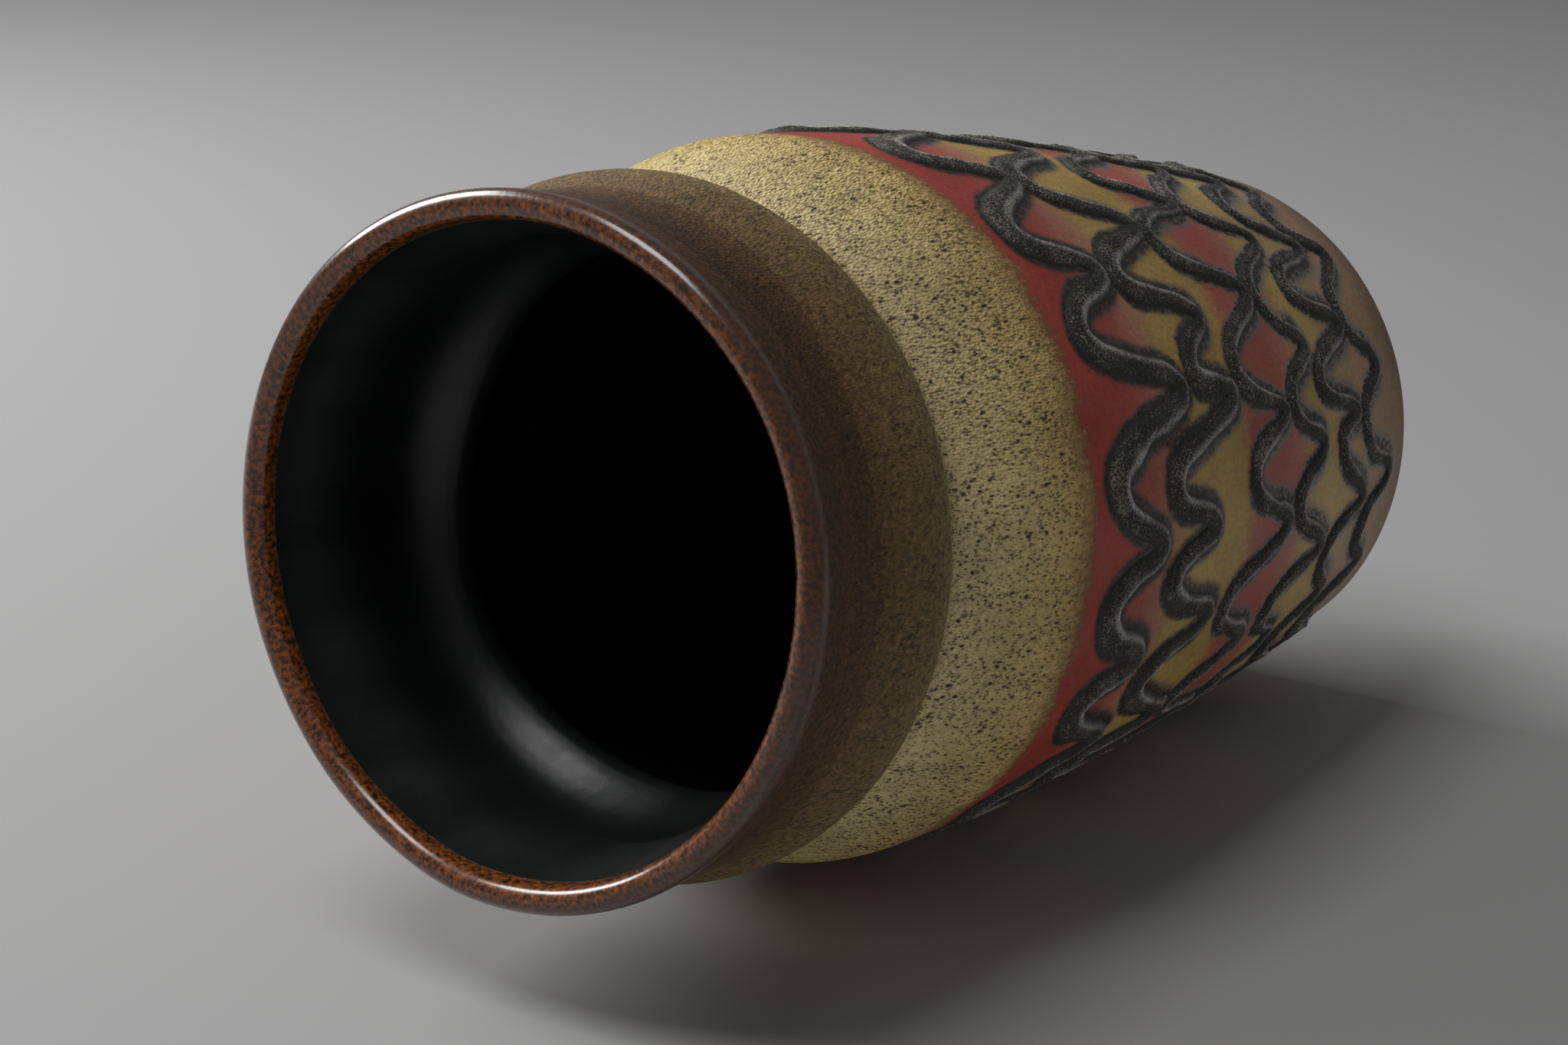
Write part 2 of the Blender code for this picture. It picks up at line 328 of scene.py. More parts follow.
@dataclass(frozen=True)
class TrailNet:
    """Centre lines of the lava trails: rows of arches round the body that touch one another.

    A line is given by the places where the hand turned it, an arch's top and a foot in turn: degrees
    from the middle of the shown side, and millimetres above the foot. Round the rest of the vase the
    turns are about evenly spaced. Between turns n and n + 1, at wave angle a from n * pi to
    (n + 1) * pi, the line goes round by (a + widening * sin a + rounding * sin 2a) / pi of a turn's
    step, which makes wide arches with narrow feet, and its height follows half a cosine wave.
    """

    shape: VaseShape
    front: float = 199.8
    turns: tuple[tuple[tuple[float, float], ...], ...] = (
        (
            (-47.0, 126.0), (-39.5, 111.0), (-29.5, 127.0), (-20.0, 113.0), (-10.0, 127.0),
            (4.0, 102.0), (14.0, 127.0), (24.5, 112.0), (33.5, 128.0), (47.5, 110.5), (57.0, 127.0),
        ),
        (
            (-46.0, 105.0), (-37.0, 89.0), (-27.0, 107.0), (-20.0, 93.0), (-11.0, 108.5),
            (1.0, 84.0), (6.5, 97.0), (15.0, 86.0), (24.0, 107.0), (34.0, 88.0), (46.0, 107.5),
            (60.0, 85.0),
        ),
        (
            (-37.0, 82.0), (-24.0, 62.0), (-13.5, 79.0), (-4.0, 64.5), (4.5, 80.5), (18.5, 64.5),
            (31.0, 86.0), (41.0, 63.5), (50.0, 81.5), (62.0, 62.0),
        ),
        (
            (-43.0, 60.0), (-32.0, 44.0), (-21.0, 58.5), (-11.5, 48.0), (-3.0, 61.0), (7.5, 49.5),
            (18.5, 61.5), (31.0, 45.5), (41.5, 61.0), (55.0, 46.0),
        ),
        (
            (-36.0, 40.0), (-26.0, 27.0), (-13.0, 39.0), (-7.0, 30.5), (0.5, 47.0), (11.0, 29.5),
            (20.0, 46.0), (29.5, 27.5), (41.0, 43.0), (52.0, 27.5),
        ),
        (
            (-34.0, 23.5), (-22.0, 13.5), (-11.0, 26.5), (2.5, 17.5), (14.0, 27.5), (28.0, 17.5),
            (38.5, 27.5), (50.0, 16.5),
        ),
    )
    turn_step: float = 10.3
    uneven_turn: float = 2.5
    uneven_height: float = 3.6
    widening: float = 0.32
    rounding: float = 0.16
    samples: int = 20
    window: int = 60
    far: float = 12.0
    block: int = 20000
    first_seed: int = 50

    def turning_points(self, trail: int) -> tuple[Array, Array]:
        """Every turn of one trail: those that are given, then others up to the first again.

        Args:
            trail: Number of the trail, from the top.

        Returns:
            Angles in degrees from the middle of the shown side, and heights, with the first repeated.
        """
        given, height = np.array(self.turns[trail]).T
        rest = given[0] + 360.0 - given[-1]
        count = 2 * round((len(given) - 1 + rest / self.turn_step) / 2.0) - len(given)
        number = np.arange(1, count + 1)
        shaky = np.random.default_rng(self.first_seed + trail).uniform(-1.0, 1.0, (2, count))
        even = given[-1] + rest * number / (count + 1)
        turn = np.concatenate([given, even + self.uneven_turn * shaky[0], given[:1] + 360.0])
        foot = (len(given) - 1 + number) % 2
        level = np.where(foot == 1, height[1::2].mean(), height[0::2].mean())
        return turn, np.concatenate([height, level + self.uneven_height * shaky[1], height[:1]])

    def centre_line(self, trail: int) -> tuple[Array, Array, Array]:
        """Samples one trail's centre line over a full turn.

        Args:
            trail: Number of the trail, from the top.

        Returns:
            Wave angles, rising angles round the axis and heights along the line.
        """
        turn, height = self.turning_points(trail)
        steps = len(turn) - 1
        wave = np.pi * np.arange(steps * self.samples) / self.samples
        arch = self.widening * np.sin(wave) + self.rounding * np.sin(2.0 * wave)
        round_by = np.interp((wave + arch) / np.pi, np.arange(steps + 1), turn)
        last = np.repeat(np.arange(steps), self.samples)
        share = wave / np.pi - last
        level = height[last] + (height[last + 1] - height[last]) * (0.5 - 0.5 * np.cos(np.pi * share))
        return wave, np.radians(self.front + round_by), level

    @cached_property
    def heights(self) -> list[tuple[float, float]]:
        """Lowest and highest point of each centre line."""
        lines = [self.centre_line(trail)[2] for trail in range(len(self.turns))]
        return [(float(line.min()), float(line.max())) for line in lines]

    def offsets(self, angle: Array, z: Array) -> TrailOffsets:
        """Distances along the surface to each centre line.

        Args:
            angle: Angles round the axis, on a grid.
            z: Heights, shaped as angle.

        Returns:
            The distances; a trail that is nowhere near is far off.
        """
        layers = (len(self.turns), *z.shape)
        inward, lobe = (np.full((layers[0], z.size), value) for value in (self.far, 0.0))
        flat_angle, flat_z = angle.ravel(), z.ravel()
        for trail, (low, high) in enumerate(self.heights):
            close = np.flatnonzero((flat_z > low - self.far) & (flat_z < high + self.far))
            for index in np.array_split(close, len(close) // self.block + 1):
                inward[trail, index], lobe[trail, index] = self._to_line(
                    trail, flat_angle[index], flat_z[index]
                )
        return TrailOffsets(inward.reshape(layers), lobe.reshape(layers))

    def _to_line(self, trail: int, angle: Array, z: Array) -> tuple[Array, Array]:
        """Distances from places to one centre line.

        Each place is held against the samples within a window round it, then against the two line
        pieces that meet at the nearest sample.

        Args:
            trail: Number of the trail.
            angle: Angles round the axis, in one row.
            z: Heights, shaped as angle.

        Returns:
            Distances, signed as in TrailOffsets, and the lobe's share.
        """
        wave, turn, height = self.centre_line(trail)
        count = len(wave)
        radius = self.shape.outside(z)[:, None]
        guess = np.searchsorted(turn, turn[0] + np.mod(angle - turn[0], FULL_TURN))
        samples = (guess[:, None] + np.arange(-self.window, self.window + 1)) % count
        aside = signed_turn(turn[samples] - angle[:, None]) * radius
        rise = height[samples] - z[:, None]
        pick = np.argmin(aside**2 + rise**2, axis=1)[:, None]
        middle = np.take_along_axis(samples, pick, axis=1)
        ends = (middle + np.array([-1, 0, 1])) % count
        aside = signed_turn(turn[ends] - angle[:, None]) * radius
        rise = height[ends] - z[:, None]
        run, climb = np.diff(aside, axis=1), np.diff(rise, axis=1)
        share = -(aside[:, :2] * run + rise[:, :2] * climb) / (run**2 + climb**2)
        share = np.clip(share, 0.0, 1.0)
        aside = aside[:, :2] + share * run
        rise = rise[:, :2] + share * climb
        nearer = np.argmin(np.hypot(aside, rise), axis=1)[:, None]
        aside, rise, run, climb = (
            np.take_along_axis(part, nearer, axis=1)[:, 0] for part in (aside, rise, run, climb)
        )
        side = np.where(run * rise < climb * aside, -1.0, 1.0)
        return side * np.hypot(aside, rise), 0.5 + 0.5 * np.cos(wave[middle[:, 0]])


@dataclass(frozen=True)
class LavaField:
    """The melted trails on a grid: how far each place lies from their edge and middle.

    gap is the distance beyond the edge in millimetres (negative on the lava) and half the half width.
    across runs from -1 on a trail's outer edge to 1 on the edge under its arches, lobe is as in
    TrailOffsets, smoke is the share of lava bled into the glaze, and owner the nearest trail's number.
    """

    gap: Array
    half: Array
    across: Array
    lobe: Array
    smoke: Array
    owner: Array


@dataclass(frozen=True)
class GlazeRelief:
    """Heights of the glaze skin and of the lava above the turned outside.

    Sizes in a row run from the top trail down. sand_on_lobe and height_on_lobe are the share at an arch's
    foot and what its top has more.
    """

    shape: VaseShape
    net: TrailNet
    half_widths: tuple[float, ...] = (2.3, 2.15, 1.75, 1.65, 1.65, 1.65)
    lobe_swells: tuple[float, ...] = (1.1, 0.9, 0.5, 0.4, 0.4, 0.4)
    smoke_inside: tuple[float, ...] = (2.6, 2.8, 3.4, 3.8, 4.0, 4.0)
    smoke_outside: float = 1.3
    crest_place: float = 0.45
    crest_width: float = 0.2
    crest_height: float = 0.2
    melt: float = 0.7
    lava_height: float = 0.85
    lava_depth: float = 0.5
    edge_fall: float = 0.7
    meniscus: float = 0.3
    meniscus_reach: float = 1.1
    meniscus_sunk: float = 0.6
    unevenness: float = 0.12
    hand_wander: float = 0.8
    edge_wander: float = 0.5
    ripple: float = 0.4
    grain: float = 0.13
    lump: float = 0.2
    sand_on_ridge: tuple[float, float] = (0.3, 0.9)
    sand_across: tuple[float, float] = (0.5, 0.2)
    sand_on_lobe: tuple[float, float] = (0.45, 0.55)
    height_on_lobe: tuple[float, float] = (0.8, 0.2)
    aside_noise: SurfaceNoise = SurfaceNoise(seed=31, around=30, pitch=11.0)
    above_noise: SurfaceNoise = SurfaceNoise(seed=32, around=30, pitch=11.0)
    swell_noise: SurfaceNoise = SurfaceNoise(seed=11, around=64, pitch=5.0)
    ripple_noise: SurfaceNoise = SurfaceNoise(seed=12, around=170, pitch=2.0)
    skin_noise: SurfaceNoise = SurfaceNoise(seed=3, around=22, pitch=16.0)
    lump_noise: SurfaceNoise = SurfaceNoise(seed=21, around=120, pitch=2.6)
    grain_noise: SurfaceNoise = SurfaceNoise(seed=22, around=400, pitch=0.85)

    def field(self, angle: Array, z: Array) -> LavaField:
        """Draws the trails with an unsteady hand and melts them into one another.

        A soft minimum of the distances beyond each trail's edge, with melt as its softness, rounds the
        corners where trails touch. Smoke reaches further under the arches than over them, as glaze runs
        in the kiln.

        Args:
            angle: Angles round the axis, on a grid.
            z: Heights, shaped as angle.

        Returns:
            The field.
        """
        aside = self.hand_wander * self.aside_noise.at(angle, z)
        above = self.hand_wander * self.above_noise.at(angle, z)
        swell = self.swell_noise.at(angle, z)
        ripple = self.ripple_noise.at(angle, z)
        lines = self.net.offsets(angle + aside / self.shape.belly_radius, z + above)
        legs, lobes, inside = (
            np.array(sizes)[:, None, None]
            for sizes in (self.half_widths, self.lobe_swells, self.smoke_inside)
        )
        half = legs + lobes * lines.lobe**2 + self.edge_wander * (swell + self.ripple * ripple)
        gaps = np.abs(lines.inward) - half
        least = gaps.min(axis=0)
        weights = np.exp((least - gaps) / self.melt)
        total = weights.sum(axis=0)
        reach = np.where(lines.inward > 0.0, inside, self.smoke_outside)
        return LavaField(
            gap=least - self.melt * np.log(total),
            half=(weights * half).sum(axis=0) / total,
            across=(weights * lines.inward / half).sum(axis=0) / total,
            lobe=(weights * lines.lobe).sum(axis=0) / total,
            smoke=smoothstep(reach, 0.0, gaps).max(axis=0),
            owner=gaps.argmin(axis=0),
        )

    def skin(self, angle: Array, z: Array, lava: LavaField) -> Array:
        """Radius of the glaze skin: the turned outside, a little uneven, climbing to each trail.

        Args:
            angle: Angles round the axis.
            z: Heights, shaped as angle.
            lava: The trails on the same grid.

        Returns:
            Radii in millimetres.
        """
        uneven = self.unevenness * self.skin_noise.at(angle, z)
        climb = self.meniscus * np.exp(-np.clip(lava.gap, 0.0, None) / self.meniscus_reach)
        return self.shape.outside(z) + self.shape.sway(angle, z) + uneven + climb

    def lava(self, angle: Array, z: Array, lava: LavaField) -> tuple[Array, Array]:
        """Radius of the lava's surface, which dips under the skin beyond its edge.

        Across a trail the ridge is (1 - d^4)^1.5 high at d half widths from its middle: a broad top and
        flanks that run out into the glaze. A low crest stands on it, and lumps and grains roughen it.

        Args:
            angle: Angles round the axis.
            z: Heights, shaped as angle.
            lava: The trails on the same grid.

        Returns:
            Radii in millimetres, and how sandy the surface is, from 0 on the flanks to 1.
        """
        off_middle = np.clip(1.0 + lava.gap / lava.half, 0.0, 1.0)
        ridge = (1.0 - off_middle**4) ** 1.5
        foot, more = self.sand_on_lobe
        on_ridge = smoothstep(*self.sand_on_ridge, ridge)
        sand = on_ridge * smoothstep(*self.sand_across, lava.across) * (foot + more * lava.lobe)
        lumps = self.lump_noise.at(angle, z)
        grains = self.grain_noise.at(angle, z)
        foot, more = self.height_on_lobe
        rise = self.lava_height * (foot + more * lava.lobe) * ridge * (1.0 + self.lump * lumps)
        rise = rise + self.crest_height * ridge * self.crest(lava)
        rise = rise + self.grain * grains * sand
        fall = self.lava_depth * np.clip(lava.gap / self.edge_fall, 0.0, 1.0)
        skin = self.skin(angle, z, lava) - self.meniscus * self.meniscus_sunk
        return skin + rise - fall, sand

    def crest(self, lava: LavaField) -> Array:
        """Share of the crest, a thin line that runs under each arch's middle: a Gaussian across it."""
        return np.exp(-(((lava.across - self.crest_place) / self.crest_width) ** 2))


def linear(colour: str) -> tuple[float, float, float, float]:
    """Turns an sRGB colour to a linear one.

    Args:
        colour: Hex colour, such as "#a1b2c3".

    Returns:
        Linear red, green, blue and an alpha of 1.
    """
    parts = [int(colour[place : place + 2], 16) / 255.0 for place in (1, 3, 5)]
    red, green, blue = (
        part / 12.92 if part <= 0.04045 else ((part + 0.055) / 1.055) ** 2.4 for part in parts
    )
    return red, green, blue, 1.0


def per_size(size: float) -> float:
    """Texture scale at which one cell of a pattern is size millimetres."""
    return 1.0 / (size * MM)


def add_node(
    tree: Tree,
    kind: str,
    inputs: Mapping[int | str, Socket | float | Sequence[float]] | None = None,
    **settings: str | float | bool,
) -> bpy.types.Node:
    """Adds a shader node.

    Args:
        tree: Node tree to add to.
        kind: Blender's name of the node.
        inputs: Values, or sockets to link, by input name or number.
        settings: Attributes of the node.

    Returns:
        The node.
    """
    node = tree.nodes.new(kind)
    for name, value in settings.items():
        setattr(node, name, value)
    for key, value in (inputs or {}).items():
        if isinstance(value, Socket):
            tree.links.new(value, node.inputs[key])
        else:
            node.inputs[key].default_value = value
    return node


def fill_ramp(node: bpy.types.Node, stops: Sequence[tuple[float, str]]) -> None:
    """Gives a colour ramp its stops.

    Args:
        node: The ramp.
        stops: Positions from 0 to 1, rising, with hex colours.
    """
    elements = node.color_ramp.elements
    for _ in range(len(stops) - 2):
        elements.new(0.5)
    for element, (position, colour) in zip(elements, stops):
        element.position = position
        element.color = linear(colour)


def new_tree(name: str) -> tuple[Material, Tree, bpy.types.Node]:
    """Makes a material with nodes.

    Args:
        name: Name of the material.

    Returns:
        The material, its tree and its Principled shader.
    """
    material = bpy.data.materials.new(name)
    material.use_nodes = True
    tree = material.node_tree
    return material, tree, tree.nodes["Principled BSDF"]


@dataclass(frozen=True)
class BandedGlaze:
    """Stoneware glazes sprayed in rings on the outside and fused, so each melts into the next.

    The eye sees soft rings of colour with brushed-out edges, satin on the body. The shoulder is matt and
    pitted like orange peel, with dark iron specks drawn out down the wall, the finest of them also painted
    shade in the pits, and the collar is grainy.
    Wherever black lava has bled into a colour it turns smoky grey.

    specks gives, for each size of speck, its pitch over pit_pitch, the share of cells without one, the
    widest speck as a share of its cell, and how dark it is. stops are heights in millimetres.
    """

    shape: VaseShape
    iron: str = "#2c2017"
    smoke: str = "#3a3733"
    pale_smoke: str = "#716f6a"
    ash: str = "#20201d"
    feather: float = 4.0
    crumble: float = 2.0
    wander: float = 3.0
    brush_draw: float = 0.24
    speck_draw: float = 0.52
    streak_size: float = 0.7
    drift_size: float = 14.0
    grain_size: float = 0.9
    cluster_size: float = 4.5
    pit_pitch: float = 0.42
    pit_depth: float = 0.4
    fray: float = 0.3
    fray_size: float = 0.4
    matt_above: tuple[float, float] = (134.0, 141.0)
    collar_above: tuple[float, float] = (160.0, 166.0)
    dark_smoke_above: tuple[float, float] = (55.0, 105.0)
    satin: tuple[float, float] = (0.34, 0.46)
    matt: float = 0.25
    specular: float = 0.3
    specks: tuple[tuple[float, float, float, float], ...] = (
        # The finest specks share the pits' pitch and sit in most of them: iron specks and painted shade in
        # the pits.
        (1.0, 0.15, 0.56, 0.7),
        (2.0, 0.55, 0.38, 0.95),
        (1.3, 0.25, 0.46, 0.8),
    )
    stops: tuple[tuple[float, str], ...] = (
        (0.0, "#5e4b3b"),
        (8.0, "#836745"),
        (15.0, "#a07d5c"),
        (27.0, "#a58462"),
        (33.0, "#ab9058"),
        (52.0, "#b29650"),
        (58.0, "#a9695a"),
        (66.0, "#a54c40"),
        (76.0, "#a55343"),
        (82.0, "#a98b46"),
        (102.0, "#b0934e"),
        (109.0, "#a6735a"),
        (116.0, "#a24f45"),
        (122.0, "#9f3c32"),
        (132.8, "#a43c30"),
        (134.7, "#84502f"),
        (136.4, "#9d7f4c"),
        (140.0, "#bda368"),
        (150.0, "#cab77e"),
        (160.0, "#d1be8d"),
        (163.5, "#9c875b"),
        (173.0, "#806a43"),
        (183.0, "#6a4e32"),
        (192.0, "#573a25"),
    )

    def dress(self, name: str) -> Material:
        """Makes the material of one coat.

        Args:
            name: Name of the material.

        Returns:
            The material.
        """
        material, tree, shader = new_tree(name)
        place = add_node(tree, "ShaderNodeTexCoord").outputs["Object"]
        level = add_node(tree, "ShaderNodeSeparateXYZ", {0: place}).outputs["Z"]
        brushed, drawn = (
            add_node(tree, "ShaderNodeMapping", {"Vector": place, "Scale": (1.0, 1.0, draw)}).outputs[0]
            for draw in (self.brush_draw, self.speck_draw)
        )
        streak, drift, fine = (
            add_node(
                tree, "ShaderNodeTexNoise", {"Vector": vector, "Scale": per_size(size), "Detail": detail}
            ).outputs["Fac"]
            for vector, size, detail in (
                (brushed, self.streak_size, 3.0),
                (place, self.drift_size, 2.0),
                (place, self.grain_size, 4.0),
            )
        )
        for noise, reach in ((streak, self.feather), (drift, self.wander), (fine, self.crumble)):
            level = self._shift(tree, level, noise, reach)
        share = add_node(
            tree, "ShaderNodeMath", {0: level, 1: per_size(self.shape.height)}, operation="MULTIPLY"
        ).outputs[0]
        rings = add_node(tree, "ShaderNodeValToRGB", {"Fac": share})
        fill_ramp(rings, [(z / self.shape.height, colour) for z, colour in self.stops])
        upper, collar, dark = (
            self._from_height(tree, share, *heights)
            for heights in (self.matt_above, self.collar_above, self.dark_smoke_above)
        )
        colour = self._mottle(tree, rings.outputs["Color"], fine, drift, collar)
        colour = self._speck(tree, colour, drawn, upper, collar)
        colour = self._smoke(tree, colour, streak, fine, dark)
        tree.links.new(colour, shader.inputs["Base Color"])
        smooth, dull = self.satin
        base = add_node(tree, "ShaderNodeMapRange", {0: fine, 1: 0.2, 2: 0.8, 3: smooth, 4: dull})
        rough = add_node(
            tree, "ShaderNodeMath", {0: upper, 1: self.matt, 2: base.outputs[0]}, operation="MULTIPLY_ADD"
        ).outputs[0]
        tree.links.new(rough, shader.inputs["Roughness"])
        shader.inputs["Specular IOR Level"].default_value = self.specular
        self._pits(tree, shader, drawn, fine, upper, collar)
        return material

    def _from_height(self, tree: Tree, share: Socket, low: float, high: float) -> Socket:
        """Eases from 0 to 1 between two heights.

        Args:
            tree: The material's nodes.
            share: Height as a share of the vase's.
            low: Height in millimetres at which the ease starts.
            high: Height at which it ends.

        Returns:
            The eased share.
        """
        return add_node(
            tree,
            "ShaderNodeMapRange",
            {0: share, 1: low / self.shape.height, 2: high / self.shape.height},
            interpolation_type="SMOOTHSTEP",
        ).outputs[0]

    @staticmethod
    def _shift(tree: Tree, level: Socket, noise: Socket, reach: float) -> Socket:
        """Moves a height up and down by noise.

        Args:
            tree: The material's nodes.
            level: Height in metres.
            noise: Noise from 0 to 1.
            reach: How far the height moves in all, in millimetres.

        Returns:
            The moved height.
        """
        half = reach / 2.0 * MM
        moved = add_node(tree, "ShaderNodeMapRange", {0: noise, 1: 0.2, 2: 0.8, 3: -half, 4: half})
        return add_node(
            tree, "ShaderNodeMath", {0: level, 1: moved.outputs[0]}, operation="ADD"
        ).outputs[0]

    @staticmethod
    def _mottle(
        tree: Tree, colour: Socket, fine: Socket, drift: Socket, collar: Socket
    ) -> Socket:
        """Lightens and darkens a colour in clouds and grains, as an uneven spray does.

        Args:
            tree: The material's nodes.
            colour: Colour to mottle.
            fine: Noise of the grains, from 0 to 1.
            drift: Noise of the clouds, from 0 to 1.
            collar: Share of the collar, where the spray is coarsest.

        Returns:
            The mottled colour.
        """
        darkest = add_node(tree, "ShaderNodeMapRange", {0: collar, 3: 0.78, 4: 0.36}).outputs[0]
        grain = add_node(
            tree, "ShaderNodeMapRange", {0: fine, 1: 0.28, 2: 0.72, 3: darkest, 4: 1.16}
        ).outputs[0]
        cloud = add_node(
            tree, "ShaderNodeMapRange", {0: drift, 1: 0.3, 2: 0.7, 3: 0.86, 4: 1.1}
        ).outputs[0]
        value = add_node(tree, "ShaderNodeMath", {0: grain, 1: cloud}, operation="MULTIPLY").outputs[0]
        return add_node(
            tree, "ShaderNodeHueSaturation", {"Value": value, "Color": colour}
        ).outputs["Color"]

    def _speck(
        self, tree: Tree, colour: Socket, drawn: Socket, upper: Socket, collar: Socket
    ) -> Socket:
        """Adds frayed iron specks of three sizes, gathered in loose clusters; the finest are also painted
        shade in the shoulder's pits.

        Args:
            tree: The material's nodes.
            colour: Colour of the glaze.
            drawn: Object coordinates, drawn out down the wall.
            upper: Share of the shoulder and collar, which alone have specks.
            collar: Share of the collar, whose specks are fainter.

        Returns:
            The specked colour.
        """
        cluster = add_node(
            tree,
            "ShaderNodeTexNoise",
            {"Vector": drawn, "Scale": per_size(self.cluster_size), "Detail": 2.0},
        ).outputs["Fac"]
        ragged = add_node(
            tree, "ShaderNodeTexNoise", {"Vector": drawn, "Scale": per_size(self.fray_size), "Detail": 1.0}
        ).outputs["Color"]
        frayed = add_node(
            tree,
            "ShaderNodeVectorMath",
            {0: ragged, 1: (self.fray * MM,) * 3, 2: drawn},
            operation="MULTIPLY_ADD",
        ).outputs[0]
        crowd = add_node(
            tree, "ShaderNodeMapRange", {0: cluster, 1: 0.3, 2: 0.7, 3: -0.1, 4: 0.1}
        ).outputs[0]
        shown = add_node(
            tree, "ShaderNodeMath", {0: collar, 1: -0.3, 2: upper}, operation="MULTIPLY_ADD"
        ).outputs[0]
        # The finest size, at the pits' pitch, darkens most pits: painted shade as well as iron specks.
        for pitches, rarest, widest, most in self.specks:
            cells = add_node(
                tree,
                "ShaderNodeTexVoronoi",
                {"Vector": frayed, "Scale": per_size(self.pit_pitch * pitches)},
            )
            pick = add_node(tree, "ShaderNodeSeparateColor", {0: cells.outputs["Color"]}).outputs[0]
            size = add_node(
                tree, "ShaderNodeMapRange", {0: pick, 1: rarest, 2: 1.0, 3: -0.08, 4: widest}
            ).outputs[0]
            size = add_node(tree, "ShaderNodeMath", {0: size, 1: crowd}, operation="ADD").outputs[0]
            depth = add_node(
                tree, "ShaderNodeMath", {0: size, 1: cells.outputs["Distance"]}, operation="SUBTRACT"
            ).outputs[0]
            spot = add_node(tree, "ShaderNodeMapRange", {0: depth, 1: -0.16, 2: 0.16, 4: most}).outputs[0]
            mask = add_node(tree, "ShaderNodeMath", {0: spot, 1: shown}, operation="MULTIPLY").outputs[0]
            colour = add_node(
                tree, "ShaderNodeMix", {0: mask, 6: colour, 7: linear(self.iron)}, data_type="RGBA"
            ).outputs[2]
        return colour

    def _smoke(
        self, tree: Tree, colour: Socket, streak: Socket, fine: Socket, high: Socket
    ) -> Socket:
        """Greys the colour towards a trail, in streaks and grains, and darkens the last of it.

        Args:
            tree: The material's nodes.
            colour: Colour of the glaze.
            streak: Noise drawn out down the wall.
            fine: Noise of the grains.
            high: Share of the upper rows, whose smoke is darker.

        Returns:
            The smoked colour.
        """
        bled = add_node(tree, "ShaderNodeAttribute", attribute_name="smoke").outputs["Fac"]
        uneven = add_node(
            tree, "ShaderNodeMapRange", {0: streak, 1: 0.3, 2: 0.7, 3: 0.76, 4: 1.14}
        ).outputs[0]
        grained = add_node(
            tree, "ShaderNodeMapRange", {0: fine, 1: 0.3, 2: 0.7, 3: 0.72, 4: 1.28}
        ).outputs[0]
        near = add_node(tree, "ShaderNodeMath", {0: bled, 1: uneven}, operation="MULTIPLY").outputs[0]
        near = add_node(tree, "ShaderNodeMath", {0: near, 1: grained}, operation="MULTIPLY").outputs[0]
        grey = add_node(
            tree,
            "ShaderNodeMix",
            {0: high, 6: linear(self.pale_smoke), 7: linear(self.smoke)},
            data_type="RGBA",
        ).outputs[2]
        for start, end, most, shade in ((0.0, 0.75, 0.85, grey), (0.55, 1.0, 1.0, linear(self.ash))):
            mask = add_node(
                tree,
                "ShaderNodeMapRange",
                {0: near, 1: start, 2: end, 4: most},
                interpolation_type="SMOOTHSTEP",
            ).outputs[0]
            colour = add_node(
                tree, "ShaderNodeMix", {0: mask, 6: colour, 7: shade}, data_type="RGBA"
            ).outputs[2]
        return colour

    def _pits(
        self,
        tree: Tree,
        shader: bpy.types.Node,
        drawn: Socket,
        fine: Socket,
        upper: Socket,
        collar: Socket,
    ) -> None:
        """Pits the shoulder, where the finest specks paint shade into most pits, and leaves the other coats
        nearly smooth.

        Args:
            tree: The material's nodes.
            shader: The material's shader.
            drawn: Object coordinates, drawn out down the wall.
            fine: Noise from 0 to 1.
            upper: Share of the shoulder and collar.
            collar: Share of the collar, whose pits are shallow.
        """
        cells = add_node(
            tree,
            "ShaderNodeTexVoronoi",
            {"Vector": drawn, "Scale": per_size(self.pit_pitch), "Smoothness": 0.4},
            feature="SMOOTH_F1",
        ).outputs["Distance"]
        rough = add_node(
            tree, "ShaderNodeMath", {0: fine, 1: 0.6, 2: cells}, operation="MULTIPLY_ADD"
        ).outputs[0]
        depth = add_node(
            tree, "ShaderNodeMath", {0: collar, 1: -0.6, 2: upper}, operation="MULTIPLY_ADD"
        ).outputs[0]
        depth = add_node(tree, "ShaderNodeMapRange", {0: depth, 3: 0.12, 4: 1.0}).outputs[0]
        height = add_node(tree, "ShaderNodeMath", {0: rough, 1: depth}, operation="MULTIPLY").outputs[0]
        bump = add_node(
            tree, "ShaderNodeBump", {"Height": height, "Strength": 0.9, "Distance": self.pit_depth * MM}
        )
        tree.links.new(bump.outputs[0], shader.inputs["Normal"])


